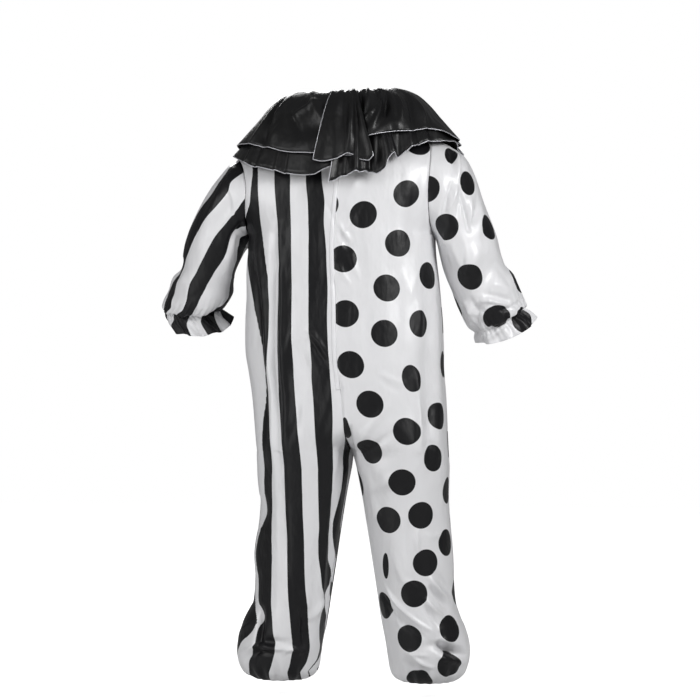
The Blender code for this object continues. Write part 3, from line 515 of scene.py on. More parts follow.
# x of the stripes' edges behind, from the outer seam inwards.  Black lies between b0 and w0, and
# so on.  Two edges that come close show where a fold hides the rest of a stripe.
BACK_EDGES = table("height b0 w0 b1 w1 b2 w2 b3 w3 b4 w4", """
    1382 344 299 240 225 176 133 90 49 4 -40; 1344 327 282 232 216 169 126 84 42 -2 -47
    1286 321 276 230 206 159 120 74 31 -13 -58; 1224 320 275 251 196 150 114 68 28 -17 -61
    1185 275 245 242 188 146 111 65 22 -23 -67; 1146 292 247 241 182 144 110 65 19 -26 -70
    1071 301 256 230 175 150 112 68 19 -25 -70; 981 306 261 214 175 155 115 70 22 -23 -67
    877 306 261 200 182 158 114 66 20 -25 -69; 827 303 258 201 192 163 117 71 22 -22 -67
    777 301 256 207 194 167 119 72 24 -20 -65; 726 300 255 217 191 166 119 73 26 -18 -63
    647 299 254 224 191 165 117 75 36 10 1; 569 296 251 222 197 166 118 78 45 22 15
    492 295 250 222 200 165 118 79 51 38 28; 453 297 252 234 202 163 117 79 55 45 34
    413 300 255 245 202 161 116 82 60 47 39; 375 303 258 250 201 161 116 83 60 47 45
    333 305 260 247 202 160 116 81 55 53 53; 294 306 261 243 203 159 115 80 60 59 58
    257 294 249 244 204 157 112 73 71 63 19; 217 285 240 232 201 154 108 83 71 49 4
    180 297 252 245 198 151 106 87 76 47 2; 139 328 283 251 191 148 107 87 82 38 -7
    99 338 293 264 200 154 115 94 91 67 22; 70 334 289 266 210 163 132 114 113 97 68
""")

# Where the print's dots lie behind; a dot that a fold hides in part is less wide.
BACK_DOTS = table("x height wide", """
    -187 1429 1; -175 1301 1; -71 1247 1; 28 1272 1; -162 1175 1; -24 1135 1; -234 1095 1
    -131 1061 1; -25 996 1; -210 971 0.85; -123 946 1; -34 867 1; -256 867 0.7; -182 832 0.72
    -72 767 1; -236 735 1; -159 698 1; -59 647 1; -222 628 1; -139 568 1; -20 560 0.9
    -245 541 1; -186 483 1; -100 470 1; -245 408 1; -197 361 1; -92 350 0.25; -167 282 1
    -268 275 1; -85 245 1; -257 190 1; -153 167 1; -256 100 1; -178 55 1; -60 1400 1; -5 700 0.3
""", plain="wide")
SLEEVE_DOTS = table("x height wide", """
    -324 1333 0.75; -222 1314 1; -272 1408 0.45; -278 1218 0.95; -383 1221 1; -337 1091 1
    -455 1086 1; -296 1020 1; -403 986 1.1; -469 982 1
""", plain="wide")
# Edges of the left sleeve's stripes, as distances round the sleeve from its back line.
SLEEVE_EDGES = table("section b0 w0 b1 w1 b2", """
    0 -138 -70 8 89 127; 0.8 -113 -50 32 89 121; 1.5 -105 -32 36 86 115; 2.2 -98 -30 30 73 109
    3 -85 -34 21 60 109; 4 -105 -47 7 56 115; 5 -115 -57 -2 45 110; 6 -105 -74 -14 29 105
    7 -100 -69 -18 26 112; 8 -118 -72 -21 13 106; 9 -112 -63 -22 10 88; 9.6 -107 -66 -31 10 67
    11 -95 -66 -33 14 57; 12 -110 -85 -51 -5 31; 13 -150 -120 -87 -18 25
""", plain="section")
print("dots set by hand:", len(BACK_DOTS["x"]), "behind,", len(SLEEVE_DOTS["x"]), "on a sleeve")


# %% Measure of the stripes
EDGE_COLUMN = 48            # the panel's column whose heights the stripes' tables are read at
SEAM_STRIPE = 0.038         # what shows of the stripe that the side seam cuts
SEAM_STRIPE_SPAN = (0.20, 0.30, 1.04, 1.10)     # the heights where it comes, holds and goes


def table_rows(data, at):
    """All the columns of a table after its first, read at each place: one row for each."""
    return np.stack([read(data, name, at) for name in list(data)[1:]], axis=1)


def stripe_measure(distance, edges):
    """Measure across the stripes: a quarter period at each edge's side of a black stripe's middle.

    Between two edges it grows by half a period, however wide the cloth lies there.  Before the
    first edge and after the last it grows with the distance itself.
    """
    marks = (2 * np.arange(edges.shape[1]) - 1) * STRIPE_PERIOD / 4
    inside = np.array([np.interp(d, e, marks) for d, e in zip(distance, edges)])
    before = np.minimum(distance - edges[:, :1], 0)
    after = np.maximum(distance - edges[:, -1:], 0)
    return inside + before + after


def panel_stripes(grid, distance, face_name):
    """Stripe measure of a panel: by its edges behind, by the grain line alone in front.

    Behind, between the ankle and the armhole, the outermost stripe runs along the side seam.
    """
    height = grid[:, EDGE_COLUMN, 2]
    falling = np.minimum.accumulate(grid[..., 0], axis=1)
    if face_name == "front":
        line = [np.interp(-x, -row, d) for x, row, d in
                zip(read(FRONT_GRAIN, "across", height), falling, distance)]
        return distance - np.array(line)[:, None]
    edges = [np.interp(-e, -row, d) - np.maximum(e - row[0], 0) + np.maximum(row[-1] - e, 0)
             for e, row, d in zip(table_rows(BACK_EDGES, height), falling, distance)]
    edges = np.array(edges)
    held = np.interp(height, SEAM_STRIPE_SPAN, (0.0, 1.0, 1.0, 0.0))
    edges[:, 1] += (SEAM_STRIPE - edges[:, 1]) * held
    return stripe_measure(distance, edges)


# %% Measure of the dots
MISS = 0.015                # a printed dot further than this from all of the cloth isn't on it
EDGE_ON = -0.2              # the least outward lean of cloth that a dot may be set on
REPEAT_REACH = (12, 24)     # the repeat's columns and rows tried on each side of its middle


def on_surface(grid, normals, centres):
    """Dots given by x and height, as points with a y: that of the nearest cloth facing back."""
    facing = normals[..., 1] > EDGE_ON
    points = []
    for x, height, wide in zip(*centres.values()):
        offset = np.where(facing, np.hypot(grid[..., 0] - x, grid[..., 2] - height), np.inf)
        nearest = np.unravel_index(np.argmin(offset), offset.shape)
        points.append((x, grid[nearest][1], height, wide))
    return np.array(points)


def repeat_dots(grid, across, along, taken=None, clear=0.105, apart=0.075):
    """Dots of a staggered repeat, turned on the cloth, but for those near a dot that is there.

    Dot (i, j) lies at (i x wide / 2, (j + half of i's oddness) x high) on the flat cloth.
    """
    wide, high = DOT_PITCH * math.sqrt(3.0), DOT_PITCH
    c, s = math.cos(REPEAT_TURN), math.sin(REPEAT_TURN)
    turned = np.stack([across * c - along * s, across * s + along * c], axis=2)
    points = []
    for i in range(-REPEAT_REACH[0], REPEAT_REACH[0] + 1):
        for j in range(-REPEAT_REACH[1], REPEAT_REACH[1] + 1):
            node = (i * wide / 2, (j + 0.5 * (i % 2)) * high)
            offset = np.hypot(turned[..., 0] - node[0], turned[..., 1] - node[1])
            nearest = np.unravel_index(np.argmin(offset), offset.shape)
            spot = grid[nearest]
            if offset[nearest] > MISS:
                continue
            crowded = [(taken, clear), (np.array(points), apart)]
            if all(dots is None or not len(dots)
                   or np.linalg.norm(dots[:, :3] - spot, axis=1).min() > room
                   for dots, room in crowded):
                points.append((*spot, 1.0))
    return np.array(points)


def dot_distance(grid, dots):
    """Distance of every point from the nearest dot's centre, straight through the curve."""
    nearest = np.full(grid.shape[:2], 1.0)
    for x, y, z, wide in dots:
        offset = (grid - (x, y, z)) / (wide, 1.0, 1.0)
        nearest = np.minimum(nearest, np.linalg.norm(offset, axis=2))
    return nearest


# %% [markdown]
# ## The body of the suit
# Two striped panels and two dotted ones are sewn up into the body.  One loop works out all four,
# because they differ only in their side and their face.  Each panel is moved along its own normals
# by its folds, and at its edges by the seams.  A seam is a shallow groove: where two panels are
# sewn, the thread draws both edges in a little.


# %% Panels
SEAM_DEPTH = 0.0016
SEAM_HALF_WIDTH = 0.004


def groove(distance):
    """Depth of a seam's groove at a distance from it: a bell, depth x exp(-(away / width)^2)."""
    return SEAM_DEPTH * np.exp(-(distance / SEAM_HALF_WIDTH) ** 2)


def mean_run(grid):
    """Distance down the cloth, the same for every point of a row: the sum of the mean steps."""
    steps = np.linalg.norm(np.diff(grid, axis=0), axis=2).mean(axis=1)
    return np.concatenate([[0.0], steps.cumsum()])[:, None] + 0 * grid[..., 0]


panels = {}
for side, sign in (("left", 1), ("right", -1)):
    for face_name, face in (("back", 1), ("front", -1)):
        name = f"{face_name}_{side}"
        grid, distance = panel_grid(ARMHOLES[side], face)
        grid = grid * (sign, 1, 1)
        outward = sign * face
        normals = grid_normals(grid, outward)
        if side == "left":
            pattern = {"stripe": panel_stripes(grid, distance, face_name)}
        elif face_name == "back":
            pattern = {"dot": dot_distance(grid, on_surface(grid, normals, BACK_DOTS))}
        else:
            dots = repeat_dots(grid, distance[:, -1:] - distance, mean_run(grid))
            pattern = {"dot": dot_distance(grid, dots)}
        depth = all_folds(grid, normals)
        depth += faint_creases(grid, normals, seed=len(panels) + 11, count=70)
        depth -= groove(distance) + groove(distance[:, -1:] - distance)
        shaped = place(grid + normals * depth[..., None])
        piece = make_piece(f"{name}_cloth", shaped, attributes=pattern, turn=outward < 0)
        panels[name] = dict(piece=piece, grid=shaped, distance=distance, normals=normals)

# %% [markdown]
# ## The sleeves
# A sleeve is a wide tube from the armhole.  Elastic stitched inside it near the hand draws the
# cloth into gathers, and what is left below flares as a short frill.  Rings laid from the armhole
# to the hem give the tube its hang, and they narrow at the elastic.  The gathers are waves round
# each ring, large ones with small tucks between, that begin above the elastic.

# %% Sleeves
CUFF_WAVES = 9
FINE_TUCKS = 31
SLEEVE_HEAD = 0.8           # the section by which the folds have grown from the armhole's seam
CUFF_GATHERS = table("section wave tuck", """
    0 0 0; 7 0 0; 8 1 0.3; 9 2 1; 10 3 1.6; 11 3 2; 12 5 1.2; 13 7 0.4
""", plain="section")

sleeves = {}
for side, sign in (("left", 1), ("right", -1)):
    grid, at = sleeve_grid(ARMHOLES[side], SLEEVES[side])
    angle = np.linspace(0.0, 2 * math.pi, grid.shape[1])
    grid = grid * (sign, 1, 1)
    normals = grid_normals(grid, -sign, closed=True)
    gathers = read(CUFF_GATHERS, "wave", at)[:, None] * np.cos(CUFF_WAVES * angle)
    uneven = FINE_TUCKS * angle + 1.3 * np.sin(3 * angle)
    tucks = read(CUFF_GATHERS, "tuck", at)[:, None] * np.cos(uneven)
    depth = all_folds(grid, normals) + gathers + tucks
    depth += faint_creases(grid, normals, seed=31 + sign, count=45)
    depth *= ease(at / SLEEVE_HEAD)[:, None]
    around = run_across(grid)
    if side == "left":
        back_line = np.array([np.interp(math.pi / 2, angle, row) for row in around])[:, None]
        pattern = {"stripe": stripe_measure(around - back_line, table_rows(SLEEVE_EDGES, at))}
    else:
        dots = on_surface(grid, normals, SLEEVE_DOTS)
        dots = np.concatenate([dots, repeat_dots(grid, around, mean_run(grid), taken=dots)])
        pattern = {"dot": dot_distance(grid, dots)}
    shaped = place(grid + normals * depth[..., None])
    sleeves[side] = make_piece(f"sleeve_{side}_cloth", shaped, close=True, attributes=pattern,
                               turn=sign > 0)

# %% [markdown]
# ## The closing strip
# A narrow strip covers the back closing.  On the real suit it is a folded tape sewn to one panel's
# edge.  It lies on the striped panel, so it is made from that panel's own points: the cloth within
# 11 mm of the centre seam, lifted along its normals.

# %% Closing strip
STRIP_WIDTH = 0.011
STRIP_LOW = 0.800
STRIP_HIGH = NECK_HEIGHT - 0.002
STRIP_LIFT = 0.0016
STRIP_ROLL = 0.0012         # how far its folded edges roll down to the panel
STRIP_COLUMNS = 9


def strip_on(panel):
    """Grid over a panel's cloth between its centre seam and a line beside it, moved out.

    A point is the panel's at that distance from the seam, plus the lift x the normal there.
    """
    height = panel["grid"][:, -1, 2] + NECK_HEIGHT
    chosen = (height > STRIP_LOW) & (height < STRIP_HIGH)
    grid = panel["grid"] + STRIP_LIFT * panel["normals"]
    aside = np.linspace(STRIP_WIDTH, 0.0, STRIP_COLUMNS)
    rows = [[np.interp(-aside, d - d[-1], p) for p in point.T]
            for d, point in zip(panel["distance"][chosen], grid[chosen])]
    return np.array(rows).transpose(0, 2, 1)


strip_grid = strip_on(panels["back_left"])
strip_grid[..., 1] -= STRIP_ROLL * np.linspace(-1.0, 1.0, STRIP_COLUMNS) ** 4
strip = make_piece("closing_strip", strip_grid)

# %% [markdown]
# ## The ruffle collar
# A ruffle is a strip of cloth more than twice as long as the neckband it is gathered on, so it
# falls in pleats.  Two numbers place a point of it: the turn round the neck, and the share of the
# way from the band to the hem.  Its profile stands up from the band, arches over the shoulder and
# falls.  The pleats are bells in the turn that grow towards the hem.

# %% Collar measures
LOWER_SEAT = 0.006          # where each ruffle is sewn to the band, above the neck's edge
UPPER_SEAT = 0.016
SEAT_GAP = 0.0008
UPPER_OUTSET = 0.012
LAP_OUTSET = 0.006
UNDER_TUCK = 0.005          # how far the end that the other end laps over is tucked in
UNDER_TUCK_TURNS = 6.0
RUFFLE = table("along side side_height back back_height front front_height", """
    0 87 1551 79 1551 79 1496; 0.1 104 1563 94 1557 94 1504; 0.22 130 1568 117 1551 117 1500
    0.36 164 1559 140 1528 142 1479; 0.5 197 1533 158 1492 163 1445
    0.65 227 1497 173 1450 180 1403; 0.8 258 1462 186 1406 193 1360
    1 303 1413 205 1322 206 1304
""", plain="along")
UPPER_HEM = table("turn shift height", """
    97 0 1398; 85.3 0 1403; 76 0 1402; 66.7 0 1404; 57 0 1411; 48 -1.2 1423; 38 -2.2 1432
    27 1 1438; 6 0 1441; -10 0 1436; -45 0 1412; -90 0 1388; -135 0 1415; -172 0 1448
    -195 -1.3 1462; -202 0 1468; -211 1.2 1470; -221 0 1465; -231 -0.7 1459; -239 -1.1 1455
    -244 -4.8 1450; -249 -5.9 1444; -252.5 -5.4 1435; -256 0 1419; -258.5 5 1405
    -260.5 7.2 1391; -262.5 7.1 1381; -265 6 1384; -267.5 5 1396; -270 4.2 1397; -274.5 2.8 1385
    -280 1.5 1381; -283 0 1385
""", plain="turn shift")
LOWER_HEM = table("turn shift height", """
    102 0 1388; 93.2 0 1379; 88.2 0 1372; 81.5 0 1358; 77.7 0 1348; 72.8 0 1347; 66.8 0 1350
    56 0 1361; 44 0 1374; 28 0 1386; 10 0 1402; -10 0 1401; -45 0 1365; -90 0 1330; -135 0 1372
    -170 0 1425; -184 0 1446; -200 -2.2 1441; -213.3 2.2 1438; -222 0.6 1430; -229 0 1421
    -234 0.8 1407; -238 0 1394; -240.6 0 1401; -243.4 0 1394; -245.4 0 1382; -246.7 0 1364
    -248.9 -0.9 1353; -256.1 0 1352; -263.6 0 1349; -267.8 0 1342; -271 0 1332; -274 0.7 1327
""", plain="turn shift")
PLEATS = table("turn half_width rise", """
    -281 4 -2; -275 3.2 4; -270 2.6 -6; -265 2.4 3; -260 2.6 13; -253 2.4 -13; -246 3.4 10
    -238 3 -7; -228 4 6; -216 5 -3; -204 5 4; -190 6 -3; -340 12 4; 35 9 3; 62 7 -3
""", plain="turn half_width")
UPPER_DENTS = table("turn share across down lean rise", """
    66.3 0.49 4.3 0.21 70 10.2; 76.1 0.51 3.6 0.1 48 -8.5; 30.7 0.61 3.6 0.11 30 -15.3
    39.3 0.64 2.1 0.11 20 10.2; 55.9 0.69 2.9 0.1 70 -8.5; 59.6 0.54 2.9 0.1 -70 6.8
    69.4 0.73 7.4 0.1 0 -6.8; 41.7 0.93 2.9 0.1 29 -8.5; 47.9 0.85 3.6 0.13 8 6.8
    68.8 0.93 8.2 0.1 0 5.1; 40.5 0.54 4.3 0.1 69 5.1; -271.9 0.58 2.5 0.2 -3 -6
    -267 0.69 1.3 0.33 -9 10; -263.4 0.66 1.5 0.28 -9 -9; -249.2 0.59 1.3 0.38 -21 8
    -251.1 0.56 1.3 0.14 -3 -8; -248 0.73 1.3 0.13 -61 9; -240 0.63 1.3 0.27 -26 12
    -234.5 0.63 1.8 0.19 -32 -14; -236.3 0.9 5.8 0.09 0 8; -226.5 0.68 1.8 0.19 -29 10
    -232.7 0.73 1.3 0.1 -14 5; -218.5 0.76 2.5 0.22 -30 -9; -211.2 0.83 1.8 0.19 -27 7
    -197.7 0.81 9 0.17 -51 -6; 85.3 0.93 2.1 0.1 -14 6.8; -11.8 0.46 3.4 0.34 11 7
    -20.5 0.31 3 0.27 -23 3; -30 0.84 3.9 0.22 11 7; -42.3 0.73 4.5 0.4 20 -8
    -48.8 0.6 4.3 0.16 -7 5; -57.2 0.41 2 0.17 24 4; -69.6 0.51 3.5 0.34 -22 -7
    -78.1 0.4 3.4 0.29 -12 4; -84.4 0.67 4 0.2 12 -3; -96.9 0.73 3.3 0.3 5 -6
    -105.1 0.7 1.8 0.24 -23 -8; -112.4 0.74 3.4 0.29 15 -6; -121.9 0.61 3.3 0.23 9 -6
    -131.1 0.71 3.7 0.15 15 -7; -141 0.7 4.1 0.27 -19 7; -150.1 0.42 3.9 0.27 -25 4
    -159.7 0.62 3.3 0.27 -8 6; -166.6 0.61 3.7 0.4 13 -5; 91 0.9 5 0.5 0 -5; 30 0.8 3 0.3 12 6
    78 0.3 4 0.2 30 6
""", plain="turn share across down lean")
LOWER_DENTS = table("turn share across down lean rise", """
    40.6 0.95 1.3 0.3 20 -4; 33.1 0.95 1.3 0.3 20 4; 55.5 0.95 1.3 0.3 20 4
    60.1 0.95 1.3 0.3 20 -4; -261.2 0.95 1.3 0.3 0 9; -265.5 0.95 1.6 0.3 0 -8
    -256.4 0.95 1.3 0.3 0 7; -249.1 0.95 1.5 0.3 -8 -10; -240.3 0.95 1.3 0.3 -4 8
    -236.3 0.95 1.3 0.3 -20 -6; -229.4 0.95 1.3 0.3 -18 5; -216.9 0.95 1.3 0.3 -20 5
    -222.7 0.95 1.3 0.3 -20 -4; -11.1 0.37 4.4 0.27 -1 -6; -23.1 0.5 3.3 0.31 -14 7
    -38.1 0.37 2.5 0.35 -1 4; -46.6 0.33 2.7 0.19 10 -4; -58.8 0.55 4.2 0.25 -19 5
    -68.6 0.37 2.9 0.31 -5 -8; -80.8 0.78 2.7 0.24 11 -8; -88.7 0.46 2.7 0.31 15 4
    -99.6 0.49 2.2 0.21 16 4; -112.4 0.8 2.6 0.27 -6 -8; -121.8 0.57 4.4 0.2 -4 7
    -133.8 0.53 4.3 0.4 18 5; -144.1 0.45 2.3 0.16 16 -4; -155.7 0.44 3.9 0.18 1 7
    -165.2 0.67 3.7 0.25 -17 3
""", plain="turn share across down lean")
FRONT_PLEATS = 11
FRONT_PLEAT_TURNS = (-10.0, -170.0)
FRONT_PLEAT_HALF_WIDTH = 3.7
FRONT_PLEAT_RISE = 0.009
print("pleats:", len(PLEATS["turn"]), "by hand,", FRONT_PLEATS, "in front; small folds:",
      len(UPPER_DENTS["turn"]) + len(LOWER_DENTS["turn"]))


# %% Pleats and small folds of a ruffle
SHARP_GATHER = 0.0011
SOFT_GATHER = 0.0007
GATHER_FADE = 0.28
GATHERS_END = 2.0


def neck_ring(turns, out, lift):
    """Points round the neck edge, moved out and up: an ellipse that dips at the front."""
    angle = np.radians(turns)
    drop = FRONT_NECK_DROP * np.maximum(-np.sin(angle), 0.0)
    return np.stack([(NECK_HALF_WIDTH + out) * np.cos(angle),
                     (NECK_HALF_DEPTH + out) * np.sin(angle), NECK_HEIGHT - drop + lift], axis=-1)


def bells(turns, centres, half_widths, rises):
    """Sum of bells in the turn, counted again a full turn away on both sides."""
    around = turns[:, None, None] - centres[None, :, None] - np.array((-360, 0, 360))
    return (rises[:, None] * np.exp(-(around / half_widths[:, None]) ** 2)).sum(axis=(1, 2))


def pleat_depth(turns):
    """Rise of the pleats at the hem: the ones behind listed one by one, the front ones by a rule.

    The rule's ridges are evenly spaced, but for a slow wave in their places and their rises.
    """
    k = np.arange(FRONT_PLEATS)
    first, last = FRONT_PLEAT_TURNS
    step = (first - last) / FRONT_PLEATS
    ridge = first - step * (k + 0.5) + 2.5 * np.sin(2.3 * k)
    uneven = FRONT_PLEAT_RISE * (1 + 0.3 * np.sin(1.7 * k))
    width = np.full(FRONT_PLEATS, FRONT_PLEAT_HALF_WIDTH)
    return (bells(turns, *list(PLEATS.values())) + bells(turns, ridge, width, uneven)
            - bells(turns, ridge - step / 2, width, 0.8 * uneven))


def dent_depth(turns, share, dents):
    """Folds of a ruffle: bells in the turn and in the share of the drop, along leaning lines.

    A fold's middle turn is turn + lean x (share - its share); its depth there is
    rise x exp(-(turns off / across)^2) x exp(-(share off / down)^2).
    """
    turn, middle, across, down, lean, rise = dents.values()
    off = share[..., None] - middle
    aside = turns[:, None] - turn - lean * off
    return (rise * np.exp(-(aside / across) ** 2 - (off / down) ** 2)).sum(axis=-1)


def drawn_waves(turns, draw, count, weakest, fewest, most, drift=0.0):
    """Sum of size x sin(number x turn + start + drift), with the first three of each drawn."""
    sizes, numbers = draw.uniform(weakest, 1.0, count), draw.integers(fewest, most, count)
    starts = draw.uniform(0, 6.3, count)
    return sum(a * np.sin(np.radians(n * turns) + p + drift)
               for a, n, p in zip(sizes, numbers, starts))


def gather_depth(turns, share, seed):
    """Small gathers at the band: sharp waves x a fade towards the hem, and soft waves x share.

    Past GATHERS_END, which is the left half of the back, the ruffle hangs almost smooth.
    """
    draw = np.random.default_rng(seed)
    sharp = drawn_waves(turns, draw, 6, 0.3, 34, 70)
    fade = np.exp(-share / GATHER_FADE) * ease(share / 0.06)
    soft = drawn_waves(turns, draw, 4, 0.4, 14, 26, drift=1.5 * share)
    smooth = 0.85 * ease((turns - GATHERS_END) / 20.0)
    return (SHARP_GATHER * sharp * fade + SOFT_GATHER * soft * share) * (1 - smooth)


# %% Ruffle surface
PROFILE_STEPS = 80
ARCH_STEP = 24              # the step from which a ruffle's profile falls
LEAVING = 0.4               # the share of the drop at which a ruffle has left the band
SEWN = 0.08                 # the share of the drop that is held close to the band
PLEAT_GROWTH = 0.8          # powers of the share: below 1 grows early, above 1 grows late
SHIFT_GROWTH = 1.4


def ruffle_grid(turns, shares, hem, seat, outset, dents, seed):
    """Points of a ruffle: a row for each share of the drop, a column for each turn.

    A point is the profile's, moved out and up by its pleats, folds and gathers.  The profile is
    read as far down as the hem's height, and its first part is drawn in to the band.
    """
    angle = np.radians(turns)
    behind = ease((np.sin(angle) + 0.25) / 0.5)
    steps = np.linspace(0.0, 1.0, PROFILE_STEPS + 1)[:, None]
    column = {name: read(RUFFLE, name, steps) for name in list(RUFFLE)[1:]}
    side = column["side"] + 0 * angle
    deep = column["back"] * behind + column["front"] * (1 - behind)
    centre_height = column["back_height"] * behind + column["front_height"] * (1 - behind)
    height = column["side_height"] * np.cos(angle) ** 2 + centre_height * np.sin(angle) ** 2
    falls = np.maximum.accumulate(-height[ARCH_STEP:], axis=0)
    lap = LAP_OUTSET * (turns[0] - turns) / (turns[0] - turns[-1])
    lifted = 0.5 * (outset + lap + pleat_depth(turns))
    hem_height = follow(turns, hem["turn"], hem["height"]) - lifted
    reach = np.array([np.interp(-h, f, steps[ARCH_STEP:, 0])
                      for h, f in zip(hem_height, falls.T)])
    along = np.outer(shares, reach)
    low = np.minimum((along * PROFILE_STEPS).astype(int), PROFILE_STEPS - 1)
    part, here = along * PROFILE_STEPS - low, np.arange(len(turns))[None, :]
    wide, deep, up = (g[low, here] * (1 - part) + g[low + 1, here] * part
                      for g in (side, deep, height))
    share = shares[:, None]
    leaving = ease(share / LEAVING)
    pleats = pleat_depth(turns) * share ** PLEAT_GROWTH
    out = outset * leaving + lap * (0.8 + 0.2 * share) + pleats
    out = out + gather_depth(turns, share, seed) + dent_depth(turns, share, dents)
    covered = turns[0] - turns[-1] - 360.0
    out = out - UNDER_TUCK * share * ease((turns - turns[0] + covered) / UNDER_TUCK_TURNS)
    steep = ease((along - 0.15) / 0.5)
    level, rise = out * (0.25 + 0.6 * steep), out * (0.95 - 0.45 * steep)
    up = up + rise + (1 - leaving) * (seat - LOWER_SEAT)
    shift = follow(turns, hem["turn"], hem["shift"])
    turned = np.radians(turns + shift * share ** SHIFT_GROWTH)
    points = np.stack([(wide + level) * np.cos(turned), (deep + level) * np.sin(turned), up],
                      axis=2)
    seated = neck_ring(turns, SEAT_GAP, seat + 0.6 * lap)
    blend = ease(share / SEWN)[..., None]
    return seated * (1 - blend) + points * blend


# %% Ruffles
RUFFLE_ROWS, RUFFLE_COLUMNS = 42, 620
BAND_CROWDING = 1.15        # a power above 1 puts the rows closer together at the band
shares = np.linspace(0.0, 1.0, RUFFLE_ROWS) ** BAND_CROWDING
LAYERS = {
    "upper": ((97.0, -283.0), UPPER_HEM, UPPER_SEAT, UPPER_OUTSET, UPPER_DENTS),
    "lower": ((102.0, -274.0), LOWER_HEM, LOWER_SEAT, 0.0, LOWER_DENTS),
}
ruffles = {}
for number, (layer, (ends, hem, seat, outset, dents)) in enumerate(LAYERS.items()):
    turns = np.linspace(*ends, RUFFLE_COLUMNS)
    grid = place(ruffle_grid(turns, shares, hem, seat, outset, dents, seed=50 + number))
    ruffles[layer] = (make_piece(f"{layer}_ruffle", grid, turn=True), grid)

# %% [markdown]
# ## The neckband
# Both ruffles are sewn to a low upright band.  It is a short stack of rings round the neck's
# edge, with a slight swell, and its two ends meet behind.

# %% Neckband
SEAM_GAP = 0.0003
BAND_HEIGHT = 0.028
BAND_END = -287.5
BAND_CLOTH = 0.0015
band_turns = BAND_END + np.linspace(0.4, 359.6, 361)
lift = np.array((SEAM_GAP, 0.003, 0.010, 0.018, 0.0255, BAND_HEIGHT))
swell = np.array((0.0, 0.0003, 0.0006, 0.0006, 0.0003, -0.0004))
band_grid = np.stack([neck_ring(band_turns, o, h) for o, h in zip(swell, lift)])
band = make_piece("neck_band", place(band_grid), thickness=BAND_CLOTH)

# %% [markdown]
# ## Silver edging
# Every free edge of the ruffles is overlocked with a glittering silver thread.  The stitch wraps
# the edge, so it looks like a fine cord with a bead for each turn of the thread.  It is a profile,
# a small ring, carried along the ruffle's edge, and the ring's radius swells once a stitch.


# %% Edging
EDGING_RADIUS = 0.0014
STITCH_LENGTH = 0.0034
STITCH_SWELL = 0.22
EDGING_SIDES = 7
EDGING_START = 3            # the ruffle's row where the edging leaves the band


def even_path(points, spacing):
    """The same path with its points spaced evenly, each read off by its distance along it."""
    run = run_across(points)
    at = np.arange(0.0, run[-1], spacing)
    return np.stack([np.interp(at, run, p) for p in points.T], axis=1), at


def edging_grid(path):
    """A ring of points carried along a path: radius x (1 + swell), in the plane across it."""
    points, at = even_path(path, STITCH_LENGTH / 4)
    tangent = np.gradient(points, axis=0)
    tangent /= np.linalg.norm(tangent, axis=1, keepdims=True)
    side = np.cross(tangent, (0.0, 0.0, 1.0))
    side /= np.linalg.norm(side, axis=1, keepdims=True)
    up = np.cross(side, tangent)
    angle = np.linspace(0.0, 2 * math.pi, EDGING_SIDES + 1)
    swell = STITCH_SWELL * np.cos(2 * math.pi * at / STITCH_LENGTH)
    radius = EDGING_RADIUS * (1 + swell)[:, None, None]
    ring = np.cos(angle)[:, None] * side[:, None] + np.sin(angle)[:, None] * up[:, None]
    return points[:, None] + radius * ring


edgings = {}
for layer, (ruffle, grid) in ruffles.items():
    first, last = grid[EDGING_START:-1, 0], grid[EDGING_START:-1, -1]
    path = np.concatenate([first, grid[-1], last[::-1]])
    edgings[layer] = make_piece(f"{layer}_edging", edging_grid(path), close=True, thickness=0)

# %% [markdown]
# ## Shader arithmetic
# A material's pattern is a sum of small steps.  Wired by hand each step is a Math node, which is
# slow to read.  Here a socket is wrapped so that ordinary operators add the nodes: 1 - mask works.


# %% A socket that can be reckoned with
class Wire:
    """One output socket of a material, usable in arithmetic."""

    def __init__(self, paint, socket):
        self.paint, self.socket = paint, socket

    def _maths(self, operation, *operands):
        return self.paint.node("ShaderNodeMath", {"operation": operation}, *operands)

    def __add__(self, other):
        return self._maths("ADD", self, other)

    def __sub__(self, other):
        return self._maths("SUBTRACT", self, other)

    def __rsub__(self, other):
        return self._maths("SUBTRACT", other, self)

    def __mul__(self, other):
        return self._maths("MULTIPLY", self, other)

    def __truediv__(self, other):
        return self._maths("DIVIDE", self, other)

    def __rtruediv__(self, other):
        return self._maths("DIVIDE", other, self)

    __radd__, __rmul__ = __add__, __mul__

    def fraction(self):
        """What is left of the value above the next whole number below it."""
        return self._maths("FRACT", self)

    def size(self):
        """The value without its sign."""
        return self._maths("ABSOLUTE", self)

    def below(self, edge, soft):
        """1 below an edge and 0 above it, over a soft width."""
        return self.paint.node("ShaderNodeMapRange", {"interpolation_type": "SMOOTHSTEP"},
                               self, edge - soft, edge + soft, 1.0, 0.0)


